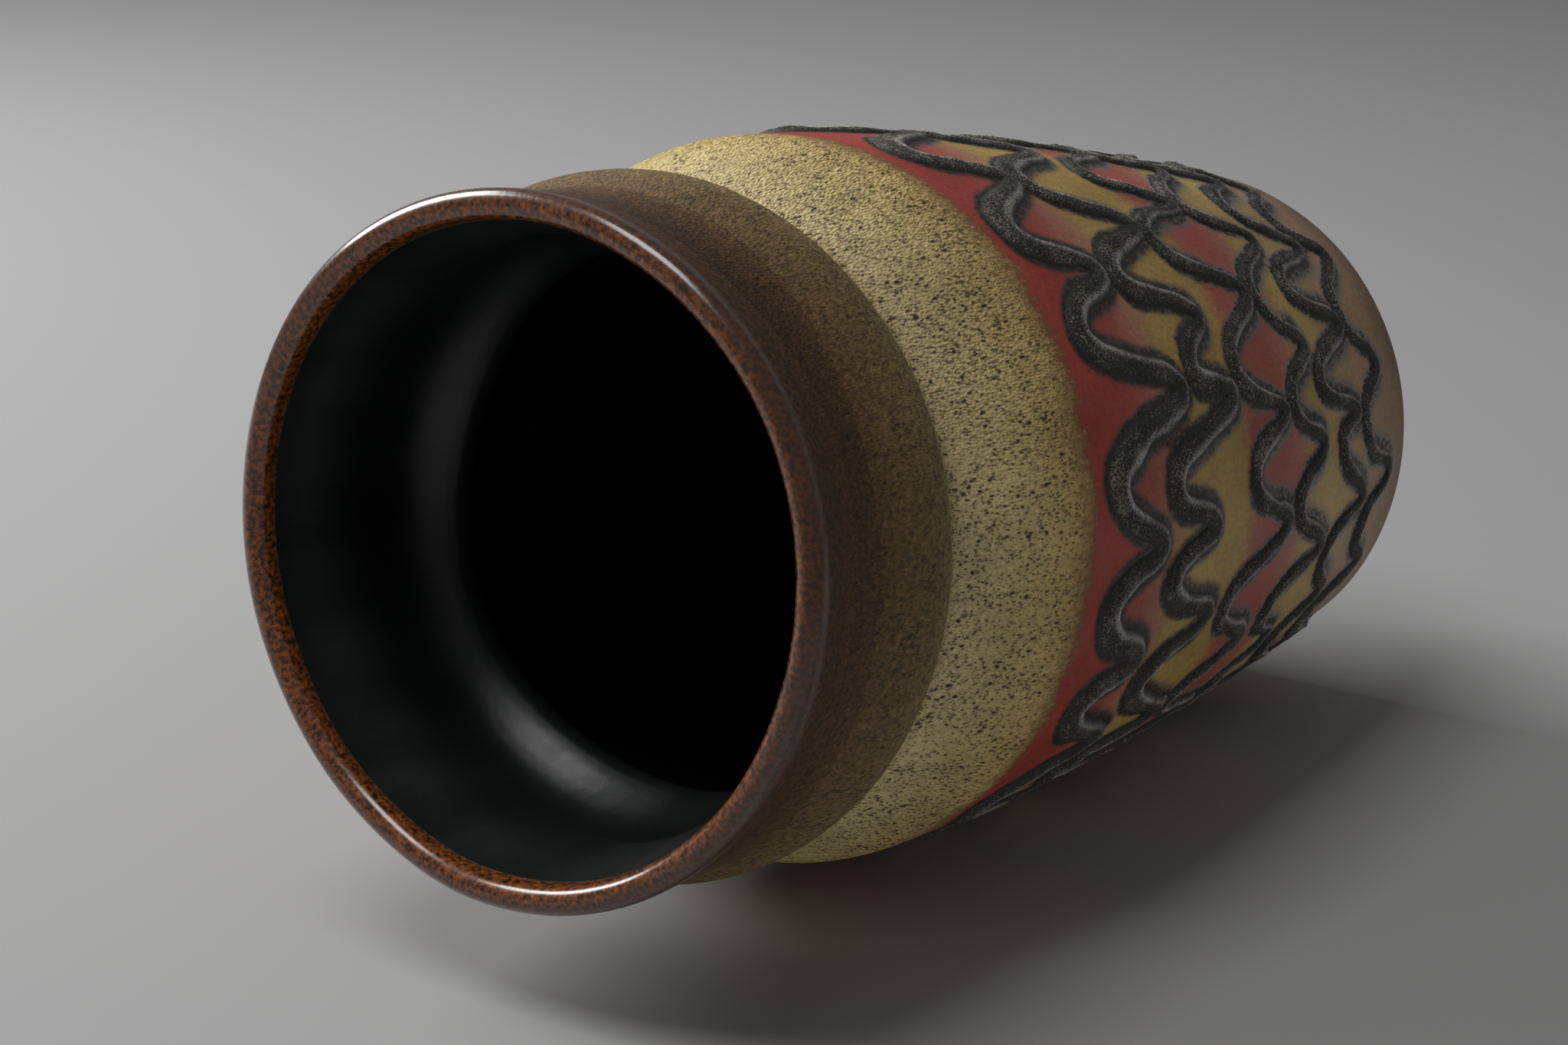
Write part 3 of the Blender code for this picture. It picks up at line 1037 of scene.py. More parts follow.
@dataclass(frozen=True)
class LavaGlaze:
    """Black lava glaze, trailed thick and blistered in the kiln.

    Its flanks melted smooth and shine a little; its top is sandy and dull, and a light grey painted
    highlight runs along the crest.
    """

    flank: str = "#191a17"
    crust: str = "#21211e"
    sand: str = "#918a76"
    # Colour of the painted highlight along the crest.
    crest_highlight: str = "#b9b7af"
    grain_size: float = 0.4
    grain_depth: float = 0.5
    patch_size: float = 6.0
    roughness: tuple[float, float] = (0.58, 0.85)

    def dress(self, name: str) -> Material:
        """Makes the material of one trail.

        Args:
            name: Name of the material.

        Returns:
            The material.
        """
        material, tree, shader = new_tree(name)
        place = add_node(tree, "ShaderNodeTexCoord").outputs["Object"]
        sand = add_node(tree, "ShaderNodeAttribute", attribute_name="sand").outputs["Fac"]
        crest = add_node(tree, "ShaderNodeAttribute", attribute_name="crest").outputs["Fac"]
        grain = add_node(
            tree, "ShaderNodeTexNoise", {"Vector": place, "Scale": per_size(self.grain_size), "Detail": 2.0}
        ).outputs["Fac"]
        cloud = add_node(
            tree, "ShaderNodeTexNoise", {"Vector": place, "Scale": per_size(self.patch_size), "Detail": 2.0}
        ).outputs["Fac"]
        base = add_node(
            tree, "ShaderNodeMix", {0: sand, 6: linear(self.flank), 7: linear(self.crust)}, data_type="RGBA"
        ).outputs[2]
        patchy = add_node(
            tree, "ShaderNodeMapRange", {0: cloud, 1: 0.3, 2: 0.7, 3: -0.1, 4: 0.1}
        ).outputs[0]
        loose = add_node(tree, "ShaderNodeMath", {0: grain, 1: patchy}, operation="ADD").outputs[0]
        tips = add_node(tree, "ShaderNodeMapRange", {0: loose, 1: 0.51, 2: 0.72, 4: 0.85}).outputs[0]
        sandy = add_node(tree, "ShaderNodeMath", {0: tips, 1: sand}, operation="MULTIPLY").outputs[0]
        # Painted highlight: a light grey line along the crest, broken up by the grains.
        highlight_breakup = add_node(tree, "ShaderNodeMapRange", {0: loose, 1: 0.36, 2: 0.6, 3: 0.2, 4: 1.0}).outputs[0]
        highlight_mask = add_node(tree, "ShaderNodeMath", {0: highlight_breakup, 1: crest}, operation="MULTIPLY").outputs[0]
        colour = add_node(
            tree, "ShaderNodeMix", {0: sandy, 6: base, 7: linear(self.sand)}, data_type="RGBA"
        ).outputs[2]
        colour = add_node(
            tree, "ShaderNodeMix", {0: highlight_mask, 6: colour, 7: linear(self.crest_highlight)}, data_type="RGBA"
        ).outputs[2]
        tree.links.new(colour, shader.inputs["Base Color"])
        smooth, dull = self.roughness
        rough = add_node(tree, "ShaderNodeMapRange", {0: sand, 3: smooth, 4: dull}).outputs[0]
        tree.links.new(rough, shader.inputs["Roughness"])
        coarse = add_node(tree, "ShaderNodeMapRange", {0: sand, 3: 0.35, 4: 1.0}).outputs[0]
        relief = add_node(tree, "ShaderNodeMath", {0: grain, 1: coarse}, operation="MULTIPLY").outputs[0]
        bump = add_node(
            tree, "ShaderNodeBump", {"Height": relief, "Strength": 0.9, "Distance": self.grain_depth * MM}
        )
        tree.links.new(bump.outputs[0], shader.inputs["Normal"])
        return material


@dataclass(frozen=True)
class LiningGlaze:
    """Black-green satin liner glaze, poured in and out: even, with faint runs."""

    deep: str = "#121614"
    thin: str = "#222825"
    run_draw: float = 0.25
    run_size: float = 9.0
    ripple_size: float = 2.5
    ripple_depth: float = 0.2
    roughness: tuple[float, float] = (0.3, 0.42)

    def dress(self, name: str) -> Material:
        """Makes the lining's material.

        Args:
            name: Name of the material.

        Returns:
            The material.
        """
        material, tree, shader = new_tree(name)
        place = add_node(tree, "ShaderNodeTexCoord").outputs["Object"]
        runs = add_node(
            tree, "ShaderNodeMapping", {"Vector": place, "Scale": (1.0, 1.0, self.run_draw)}
        ).outputs[0]
        cloud = add_node(
            tree, "ShaderNodeTexNoise", {"Vector": runs, "Scale": per_size(self.run_size), "Detail": 4.0}
        ).outputs["Fac"]
        colour = add_node(
            tree, "ShaderNodeMix", {0: cloud, 6: linear(self.deep), 7: linear(self.thin)}, data_type="RGBA"
        ).outputs[2]
        tree.links.new(colour, shader.inputs["Base Color"])
        smooth, dull = self.roughness
        rough = add_node(
            tree, "ShaderNodeMapRange", {0: cloud, 1: 0.3, 2: 0.7, 3: smooth, 4: dull}
        ).outputs[0]
        tree.links.new(rough, shader.inputs["Roughness"])
        fine = add_node(
            tree, "ShaderNodeTexNoise", {"Vector": place, "Scale": per_size(self.ripple_size), "Detail": 3.0}
        ).outputs["Fac"]
        bump = add_node(
            tree, "ShaderNodeBump", {"Height": fine, "Strength": 0.25, "Distance": self.ripple_depth * MM}
        )
        tree.links.new(bump.outputs[0], shader.inputs["Normal"])
        return material


@dataclass(frozen=True)
class LipGlaze:
    """Iron-brown gloss over the lip, broken to orange-brown flecks where it thins on the edge.

    Down the outside it runs out, dull, into the collar's brown.
    """

    shape: VaseShape
    brown: str = "#311d10"
    fleck: str = "#9c5624"
    dull_brown: str = "#342317"
    dull_fleck: str = "#5a3e27"
    run_out: float = 4.2
    thin_from: float = 1.5
    thin_to: float = -1.2
    fleck_size: float = 0.75
    fleck_depth: float = 0.3
    roughness: tuple[float, float] = (0.65, 0.28)
    coat_roughness: float = 0.18
    specular: float = 0.3

    def dress(self, name: str) -> Material:
        """Makes the lip's material.

        Args:
            name: Name of the material.

        Returns:
            The material.
        """
        material, tree, shader = new_tree(name)
        place = add_node(tree, "ShaderNodeTexCoord").outputs["Object"]
        level = add_node(tree, "ShaderNodeSeparateXYZ", {0: place}).outputs["Z"]
        low, high = (self.shape.height - self.run_out) * MM, self.shape.lip_z * MM
        edge = add_node(
            tree, "ShaderNodeMapRange", {0: level, 1: low, 2: high}, interpolation_type="SMOOTHSTEP"
        ).outputs[0]
        cloud = add_node(
            tree, "ShaderNodeTexNoise", {"Vector": place, "Scale": per_size(self.fleck_size), "Detail": 4.0}
        ).outputs["Fac"]
        spots = add_node(tree, "ShaderNodeMapRange", {0: cloud, 1: 0.38, 2: 0.7}).outputs[0]
        flat = add_node(
            tree, "ShaderNodeVectorMath", {0: place, 1: (1.0, 1.0, 0.0)}, operation="MULTIPLY"
        ).outputs[0]
        radius = add_node(tree, "ShaderNodeVectorMath", {0: flat}, operation="LENGTH").outputs["Value"]
        crest = self.shape.lip_radius
        thin = add_node(
            tree,
            "ShaderNodeMapRange",
            {0: radius, 1: (crest + self.thin_from) * MM, 2: (crest + self.thin_to) * MM, 3: 0.25, 4: 1.0},
        ).outputs[0]
        flecks = add_node(tree, "ShaderNodeMath", {0: spots, 1: thin}, operation="MULTIPLY").outputs[0]
        dull, bright = (
            add_node(
                tree, "ShaderNodeMix", {0: mask, 6: linear(dark), 7: linear(light)}, data_type="RGBA"
            ).outputs[2]
            for mask, dark, light in (
                (spots, self.dull_brown, self.dull_fleck),
                (flecks, self.brown, self.fleck),
            )
        )
        colour = add_node(
            tree, "ShaderNodeMix", {0: edge, 6: dull, 7: bright}, data_type="RGBA"
        ).outputs[2]
        tree.links.new(colour, shader.inputs["Base Color"])
        dry, wet = self.roughness
        rough = add_node(tree, "ShaderNodeMapRange", {0: edge, 3: dry, 4: wet}).outputs[0]
        tree.links.new(rough, shader.inputs["Roughness"])
        tree.links.new(edge, shader.inputs["Coat Weight"])
        shader.inputs["Coat Roughness"].default_value = self.coat_roughness
        shader.inputs["Specular IOR Level"].default_value = self.specular
        bump = add_node(
            tree, "ShaderNodeBump", {"Height": cloud, "Strength": 0.2, "Distance": self.fleck_depth * MM}
        )
        tree.links.new(bump.outputs[0], shader.inputs["Normal"])
        return material


@dataclass(frozen=True)
class BareClay:
    """Buff stoneware left bare on the foot: dry, sandy and a little stained."""

    buff: str = "#a98a68"
    stain: str = "#7b5f47"
    stain_size: float = 7.0
    grit_size: float = 0.7
    grit_depth: float = 0.25
    roughness: tuple[float, float] = (0.75, 0.95)

    def dress(self, name: str) -> Material:
        """Makes the clay's material.

        Args:
            name: Name of the material.

        Returns:
            The material.
        """
        material, tree, shader = new_tree(name)
        place = add_node(tree, "ShaderNodeTexCoord").outputs["Object"]
        cloud, grit = (
            add_node(
                tree, "ShaderNodeTexNoise", {"Vector": place, "Scale": per_size(size), "Detail": detail}
            ).outputs["Fac"]
            for size, detail in ((self.stain_size, 5.0), (self.grit_size, 3.0))
        )
        colour = add_node(
            tree, "ShaderNodeMix", {0: cloud, 6: linear(self.buff), 7: linear(self.stain)}, data_type="RGBA"
        ).outputs[2]
        tree.links.new(colour, shader.inputs["Base Color"])
        smooth, dull = self.roughness
        rough = add_node(tree, "ShaderNodeMapRange", {0: grit, 3: smooth, 4: dull}).outputs[0]
        tree.links.new(rough, shader.inputs["Roughness"])
        bump = add_node(
            tree, "ShaderNodeBump", {"Height": grit, "Strength": 0.5, "Distance": self.grit_depth * MM}
        )
        tree.links.new(bump.outputs[0], shader.inputs["Normal"])
        return material


def add_mesh(
    name: str,
    points: Array,
    faces: Sequence[Array],
    material: Material,
    corner_normals: Array | None = None,
) -> bpy.types.Object:
    """Makes a mesh object at the origin.

    Args:
        name: Name of the piece.
        points: Points in millimetres, one row each.
        faces: Arrays of corner numbers, each with one row per face.
        material: Finish of the piece.
        corner_normals: One normal per face corner, in the faces' order; a zero row leaves Blender's own.

    Returns:
        The object, smooth shaded and linked to the scene.
    """
    corners = np.concatenate([block.ravel() for block in faces])
    sizes = np.concatenate([np.full(len(block), block.shape[1]) for block in faces])
    mesh = bpy.data.meshes.new(name)
    mesh.vertices.add(len(points))
    mesh.vertices.foreach_set("co", (points * MM).astype(np.float32).ravel())
    mesh.loops.add(len(corners))
    mesh.loops.foreach_set("vertex_index", corners.astype(np.int32))
    mesh.polygons.add(len(sizes))
    mesh.polygons.foreach_set("loop_start", (np.cumsum(sizes) - sizes).astype(np.int32))
    mesh.polygons.foreach_set("use_smooth", np.ones(len(sizes), dtype=bool))
    mesh.update(calc_edges=True)
    mesh.materials.append(material)
    if corner_normals is not None:
        mesh.normals_split_custom_set(corner_normals.tolist())
    piece = bpy.data.objects.new(name, mesh)
    bpy.context.scene.collection.objects.link(piece)
    return piece


def add_values(piece: bpy.types.Object, name: str, values: Array) -> None:
    """Stores one number per point on a piece's mesh, for its material to read."""
    layer = piece.data.attributes.new(name, "FLOAT", "POINT")
    layer.data.foreach_set("value", values.astype(np.float32).ravel())


def on_circle(radius: Array, angle: Array, z: Array) -> Array:
    """Points (radius cos angle, radius sin angle, z), stacked on a last axis."""
    parts = np.broadcast_arrays(radius * np.cos(angle), radius * np.sin(angle), z)
    return np.stack(parts, axis=-1)


def ring_faces(turns: int, count: int, closed: bool) -> Array:
    """Quads of a grid that closes round the axis, with points numbered turn by turn.

    Args:
        turns: Columns round the axis.
        count: Points in each column.
        closed: Whether a column's last point joins its first.

    Returns:
        Corner numbers, four to a row, facing out where columns run anticlockwise in radius and height.
    """
    turn, row = np.meshgrid(np.arange(turns), np.arange(count if closed else count - 1), indexing="ij")
    here, there = turn * count, ((turn + 1) % turns) * count
    after = (row + 1) % count
    return np.stack([here + row, there + row, there + after, here + after], axis=-1).reshape(-1, 4)


@dataclass
class Piece:
    """One visual piece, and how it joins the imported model."""

    piece: bpy.types.Object
    slot: Slot
    nodes: tuple[str, ...]

    def join(self) -> None:
        """Rides the piece on the vase's one body, in place of its nodes."""
        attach(self.piece, BODY)
        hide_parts(*self.nodes)
        LOG.info("%s: %d faces", self.piece.name, len(self.piece.data.polygons))


@dataclass
class ClayBody:
    """The fired body: foot ring with its recess, wall and lip, closed on the axis."""

    shape: VaseShape
    finish: BareClay = field(default_factory=BareClay)
    turns: int = 192
    row_step: float = 4.0
    foot_rows: int = 8
    lip_rows: int = 9
    lip_space: float = 1.0
    corner_rows: int = 7

    def loop(self) -> Array:
        """Draws the section: foot ring, outside, half-round lip and inside, with a quarter-round corner.

        Returns:
            Radius and height, one row each, from the axis under the foot to the axis inside.
        """
        shape = self.shape
        coat = shape.glaze + shape.gap
        stand = shape.foot_radius - shape.foot_edge
        edge = float(shape.outside(np.array(shape.foot_height))) - coat
        round_share = np.sin(np.linspace(0.0, np.pi / 2.0, self.foot_rows))[1:]
        foot = np.stack(
            [
                stand + (edge - stand) * round_share,
                shape.foot_height * (1.0 - np.sqrt(1.0 - round_share**2)),
            ],
            axis=1,
        )
        ring = stand - shape.foot_ring_width
        recess = np.array([[0.0, shape.foot_recess], [ring - shape.foot_recess, shape.foot_recess]])
        stand_face = np.array([[ring, 0.0], [stand, 0.0]])
        rise = np.arange(shape.foot_height + self.row_step, shape.lip_z - self.lip_space, self.row_step)
        wall = np.stack([shape.outside(rise) - coat, rise], axis=1)
        crest = np.linspace(0.0, np.pi, self.lip_rows)
        bead = shape.lip_thickness / 2.0 - coat
        lip = np.stack([shape.lip_radius + bead * np.cos(crest), shape.lip_z + bead * np.sin(crest)], axis=1)
        fall = np.arange(shape.lip_z - self.row_step, shape.floor_z + shape.floor_corner, -self.row_step)
        inner_z = np.concatenate([fall, shape.corner_heights(self.corner_rows)])
        sunk = coat * (inner_z < shape.floor_z + FLOOR_TOUCH)
        inner = np.stack([shape.inside(inner_z) + coat, inner_z - sunk], axis=1)
        centre = np.array([[0.0, shape.floor_z - coat]])
        return np.concatenate([recess, stand_face, foot, wall, lip, inner, centre])

    def build(self) -> Piece:
        """Turns the section about the axis.

        Returns:
            The body.
        """
        material = self.finish.dress("bare_buff_stoneware")
        piece = turned_solid("clay_body_turned", self.shape, self.loop(), self.turns, material)
        return Piece(piece, Slot.CLAY, ("clay_body",))


def turned_solid(
    name: str,
    shape: VaseShape,
    loop: Array,
    turns: int,
    material: Material,
    poured: bool = False,
    sharp_from: float = 38.0,
) -> bpy.types.Object:
    """Turns a section that starts and ends on the axis, with a fan of triangles at each end.

    Args:
        name: Name of the piece.
        shape: The vase, whose mouth sways out of round.
        loop: Radius and height along the section, one row each.
        turns: Columns round the axis.
        material: Finish.
        poured: Whether the piece is glaze that pooled on the inside.
        sharp_from: Angle in degrees from which an edge stays sharp.

    Returns:
        The object.
    """
    rim = loop[1:-1]
    angle = FULL_TURN * np.arange(turns)[:, None] / turns
    z = rim[None, :, 1]
    radius = rim[None, :, 0] + shape.sway(angle, z)
    if poured:
        radius = radius - shape.pooled(angle, z)
    grid = on_circle(radius, angle, z)
    count = len(rim)
    poles = np.array([[0.0, 0.0, loop[0, 1]], [0.0, 0.0, loop[-1, 1]]])
    points = np.concatenate([grid.reshape(-1, 3), poles])
    here = np.arange(turns) * count
    there = np.roll(here, -1)
    first, last = turns * count, turns * count + 1
    under = np.stack([np.full(turns, first), there, here], axis=1)
    over = np.stack([np.full(turns, last), here + count - 1, there + count - 1], axis=1)
    piece = add_mesh(name, points, [ring_faces(turns, count, False), under, over], material)
    piece.data.set_sharp_from_angle(angle=math.radians(sharp_from))
    return piece


@dataclass
class Lining:
    """The poured lining: a thin cup from under the lip's coat over the inside floor."""

    shape: VaseShape
    finish: LiningGlaze = field(default_factory=LiningGlaze)
    turns: int = 320
    row_step: float = 1.5
    corner_rows: int = 15
    back_every: int = 4
    sunk: float = 1.0

    def build(self) -> Piece:
        """Turns the lining's section: its back up the wall, then its face down to the floor's centre.

        Returns:
            The lining.
        """
        shape = self.shape
        top, corner_z = shape.lip_z - shape.lip_inner_skirt, shape.floor_z + shape.floor_corner
        fall = np.arange(top, corner_z, -self.row_step)
        z = np.concatenate([fall, shape.corner_heights(self.corner_rows)])
        face = np.stack([shape.inside(z), z], axis=1)
        on_floor = z < shape.floor_z + FLOOR_TOUCH
        back = np.stack([shape.inside(z) + self.sunk, z - self.sunk * on_floor], axis=1)
        back = back[:: -self.back_every][1:]
        top_edge = [[face[0, 0] + self.sunk, face[0, 1]]]
        under_floor, on_top = [[0.0, shape.floor_z - self.sunk]], [[0.0, shape.floor_z]]
        loop = np.concatenate([under_floor, back, top_edge, face, on_top])
        material = self.finish.dress("black_green_liner_glaze")
        piece = turned_solid("inner_glaze_poured", shape, loop, self.turns, material, poured=True)
        return Piece(piece, Slot.LINING, ("inner_glaze",))


@dataclass
class Lip:
    """The lip's gloss coat: a bead over the crest with a skirt down both sides of the wall."""

    shape: VaseShape
    relief: GlazeRelief
    finish: LipGlaze
    turns: int = 512
    crest_rows: int = 25
    skirt_rows: int = 10
    back_every: int = 4
    crest_sway: float = 0.35
    crest_phase: float = 2.1
    crest_second: float = 0.5
    sharp_from: float = 50.0
    sunk: float = 1.0

    def build(self) -> Piece:
        """Carries the section round the axis, swaying with the hand-finished mouth.

        Returns:
            The lip's coat.
        """
        shape = self.shape
        low_out, low_in = shape.height - shape.lip_skirt, shape.lip_z - shape.lip_inner_skirt
        outer_z = np.linspace(low_out, shape.lip_z, self.skirt_rows)[:-1]
        outer = np.stack([shape.outside(outer_z), outer_z], axis=1)
        crest = np.linspace(0.0, np.pi, self.crest_rows)
        bead = shape.lip_thickness / 2.0
        lip = np.stack([shape.lip_radius + bead * np.cos(crest), shape.lip_z + bead * np.sin(crest)], axis=1)
        inner_z = np.linspace(shape.lip_z, low_in, self.skirt_rows)[1:]
        inner = np.stack([shape.inside(inner_z), inner_z], axis=1)
        core = bead - self.sunk
        back = crest[:: self.back_every]
        under = np.stack([shape.lip_radius - core * np.cos(back), shape.lip_z + core * np.sin(back)], axis=1)
        ends_in = [[inner[-1, 0] + self.sunk, low_in]]
        ends_out = [[outer[0, 0] - self.sunk, low_out]]
        loop = np.concatenate([outer, lip, inner, ends_in, under, ends_out])
        angle = FULL_TURN * np.arange(self.turns)[:, None] / self.turns
        z = np.tile(loop[:, 1], (self.turns, 1))
        uneven = self.relief.skin_noise.at(np.broadcast_to(angle, z.shape), z)
        radius = loop[None, :, 0] + shape.sway(angle, z) + self.relief.unevenness * uneven
        lift = self.crest_sway * smoothstep(low_in, shape.height, z)
        wave = np.cos(2.0 * angle + self.crest_phase) + self.crest_second * np.sin(5.0 * angle)
        z = z + lift * wave
        points = on_circle(radius, angle, z).reshape(-1, 3)
        faces = ring_faces(self.turns, len(loop), True)
        piece = add_mesh("lip_glaze_bead", points, [faces], self.finish.dress("iron_brown_gloss_glaze"))
        piece.data.set_sharp_from_angle(angle=math.radians(self.sharp_from))
        return Piece(piece, Slot.LIP, ("lip_glaze",))


@dataclass
class Coats:
    """The outside coats: rings of fused glaze, one piece to a ring, that meet edge to edge.

    band_edges are shares of the belly's height.
    """

    shape: VaseShape
    relief: GlazeRelief
    finish: BandedGlaze
    band_edges: tuple[float, ...] = (0.094, 0.23, 0.403, 0.576, 0.806, 0.978)
    turns: int = 640
    row_step: float = 0.75
    least_rows: int = 4
    sunk: float = 1.0

    def rings(self) -> list[tuple[str, float, float, Slot, str]]:
        """Lists the coats from the foot up.

        Returns:
            Node, lower and upper height, record slot and material of each coat.
        """
        shape = self.shape
        bands = [share * shape.belly_z for share in self.band_edges]
        edges = [shape.foot_height, *bands, shape.groove_z, shape.height - shape.lip_skirt]
        coats = [
            ("foot_glaze", Slot.FOOT, "brown_satin_glaze"),
            ("rose_band", Slot.ROSE, "rose_brown_satin_glaze"),
            ("lower_yellow_band", Slot.YELLOW, "lower_ochre_satin_glaze"),
            ("middle_red_band", Slot.RED, "middle_red_satin_glaze"),
            ("upper_yellow_band", Slot.YELLOW, "upper_ochre_satin_glaze"),
            ("upper_red_band", Slot.RED, "upper_red_satin_glaze"),
            ("shoulder_glaze", Slot.SHOULDER, "specked_ochre_matt_glaze"),
            ("collar_glaze", Slot.COLLAR, "olive_brown_grainy_glaze"),
        ]
        return [
            (node, low, high, slot, material)
            for (node, slot, material), low, high in zip(coats, edges, edges[1:])
        ]

    def build(self) -> list[Piece]:
        """Builds every coat."""
        return [self._coat(*ring) for ring in self.rings()]

    def _coat(self, node: str, low: float, high: float, slot: Slot, material: str) -> Piece:
        """Carries one coat's section round the axis: its face, then its back inside the clay's gap.

        Args:
            node: Node that the coat stands for.
            low: Height of its lower edge.
            high: Height of its upper edge.
            slot: Material slot in the record.
            material: Name of its material.

        Returns:
            The coat.
        """
        rows = max(round((high - low) / self.row_step), self.least_rows) + 1
        face_z = np.linspace(low, high, rows)
        angle = FULL_TURN * np.arange(self.turns) / self.turns
        face, normal, smoke = self._face(angle, face_z)
        back_z = np.array([high, (low + high) / 2.0, low])
        back = np.tile(self.shape.outside(back_z) - self.sunk, (self.turns, 1))
        radius = np.concatenate([face, back], axis=1)
        z = np.tile(np.concatenate([face_z, back_z]), (self.turns, 1))
        count = radius.shape[1]
        faces = ring_faces(self.turns, count, True)
        corner_normals = np.zeros((len(faces), 4, 3))
        on_face = (faces % count < rows).all(axis=1)
        point_normals = np.concatenate([normal, np.zeros((self.turns, 3, 3))], axis=1).reshape(-1, 3)
        corner_normals[on_face] = point_normals[faces[on_face]]
        points = on_circle(radius, angle[:, None], z).reshape(-1, 3)
        finish = self.finish.dress(material)
        piece = add_mesh(f"{node}_coat", points, [faces], finish, corner_normals.reshape(-1, 3))
        add_values(piece, "smoke", np.concatenate([smoke, np.zeros((self.turns, 3))], axis=1))
        return Piece(piece, slot, (node,))

    def _face(self, angle: Array, z: Array) -> tuple[Array, Array, Array]:
        """The coat's face over a grid of angles and heights.

        The normals come from the relief itself, one row beyond each edge, so that two coats shade alike
        where they meet: out - slope round * along - slope up * up.

        Args:
            angle: Angles round the axis, evenly spaced.
            z: Heights, evenly spaced.

        Returns:
            Radii, unit normals and the share of smoke, angle by angle.
        """
        step = z[1] - z[0]
        wide_z = np.concatenate([[z[0] - step], z, [z[-1] + step]])
        grid_angle, grid_z = np.meshgrid(angle, wide_z, indexing="ij")
        lava = self.relief.field(grid_angle, grid_z)
        wide = self.relief.skin(grid_angle, grid_z, lava)
        face = wide[:, 1:-1]
        round_slope = (np.roll(face, -1, 0) - np.roll(face, 1, 0)) / (2.0 * angle[1]) / face
        up_slope = (wide[:, 2:] - wide[:, :-2]) / (2.0 * step)
        level = np.zeros_like(angle)
        out = np.stack([np.cos(angle), np.sin(angle), level], axis=1)[:, None, :]
        along = np.stack([-np.sin(angle), np.cos(angle), level], axis=1)[:, None, :]
        normal = out - round_slope[..., None] * along - up_slope[..., None] * np.array([0.0, 0.0, 1.0])
        normal /= np.linalg.norm(normal, axis=-1, keepdims=True)
        return face, normal, lava.smoke[:, 1:-1]


@dataclass
class LavaTrails:
    """The raised trails: one mesh to a trail, cut from one relief so that they melt into one another."""

    relief: GlazeRelief
    finish: LavaGlaze = field(default_factory=LavaGlaze)
    turns: int = 840
    row_step: float = 0.42
    margin: float = 0.55
    spare: float = 5.0
    crest_on_lobe: tuple[float, float] = (0.6, 0.4)

    def build(self) -> list[Piece]:
        """Cuts each trail's own part out of the lava's surface and closes it underneath.

        Returns:
            The trails, from the top.
        """
        heights = self.relief.net.heights
        low = min(lowest for lowest, _ in heights) - self.spare
        high = max(highest for _, highest in heights) + self.spare
        angle = FULL_TURN * np.arange(self.turns) / self.turns
        z = np.linspace(low, high, int((high - low) / self.row_step) + 1)
        grid_angle, grid_z = np.meshgrid(angle, z, indexing="ij")
        lava = self.relief.field(grid_angle, grid_z)
        radius, sand = self.relief.lava(grid_angle, grid_z, lava)
        skin = self.relief.skin(grid_angle, grid_z, lava)
        top = on_circle(radius, grid_angle, grid_z).reshape(-1, 3)
        under = on_circle(skin - self.relief.shape.glaze, grid_angle, grid_z).reshape(-1, 3)
        # The crest's share, stored as 'crest', is where the lava's material paints its light grey highlight.
        foot, more = self.crest_on_lobe
        crest = self.relief.crest(lava) * (foot + more * lava.lobe)
        values = {"sand": sand.ravel(), "crest": crest.ravel()}
        quads = ring_faces(self.turns, len(z), False)
        inside = (lava.gap.ravel()[quads] < self.margin).all(axis=1)
        mine = lava.owner.ravel()[quads[:, 0]]
        return [
            self._trail(trail, quads[inside & (mine == trail)], top, under, values)
            for trail in range(len(heights))
        ]

    def _trail(
        self, trail: int, quads: Array, top: Array, under: Array, values: Mapping[str, Array]
    ) -> Piece:
        """Closes one trail: its top, the same faces underneath, and a wall along every free edge.

        Args:
            trail: Number of the trail, from the top.
            quads: Its faces, as numbers of grid points.
            top: All grid points on the lava.
            under: The same points sunk into the glaze.
            values: Numbers per grid point that the finish reads, by name.

        Returns:
            The trail.
        """
        used, flat = np.unique(quads.ravel(), return_inverse=True)
        upper = flat.reshape(-1, 4)
        count = len(used)
        edges = np.stack([upper, np.roll(upper, -1, axis=1)], axis=-1).reshape(-1, 2)
        forward = edges[:, 0] * count + edges[:, 1]
        backward = edges[:, 1] * count + edges[:, 0]
        free = edges[~np.isin(forward, backward)]
        walls = np.stack([free[:, 1], free[:, 0], free[:, 0] + count, free[:, 1] + count], axis=1)
        lower = upper[:, ::-1] + count
        points = np.concatenate([top[used], under[used]])
        node = f"lava_trail_{trail + 1}"
        finish = self.finish.dress(f"black_lava_glaze_{trail + 1}")
        piece = add_mesh(f"{node}_raised", points, [upper, lower, walls], finish)
        for name, numbers in values.items():
            add_values(piece, name, np.concatenate([numbers[used], np.zeros(count)]))
        return Piece(piece, Slot.LAVA, (node,))


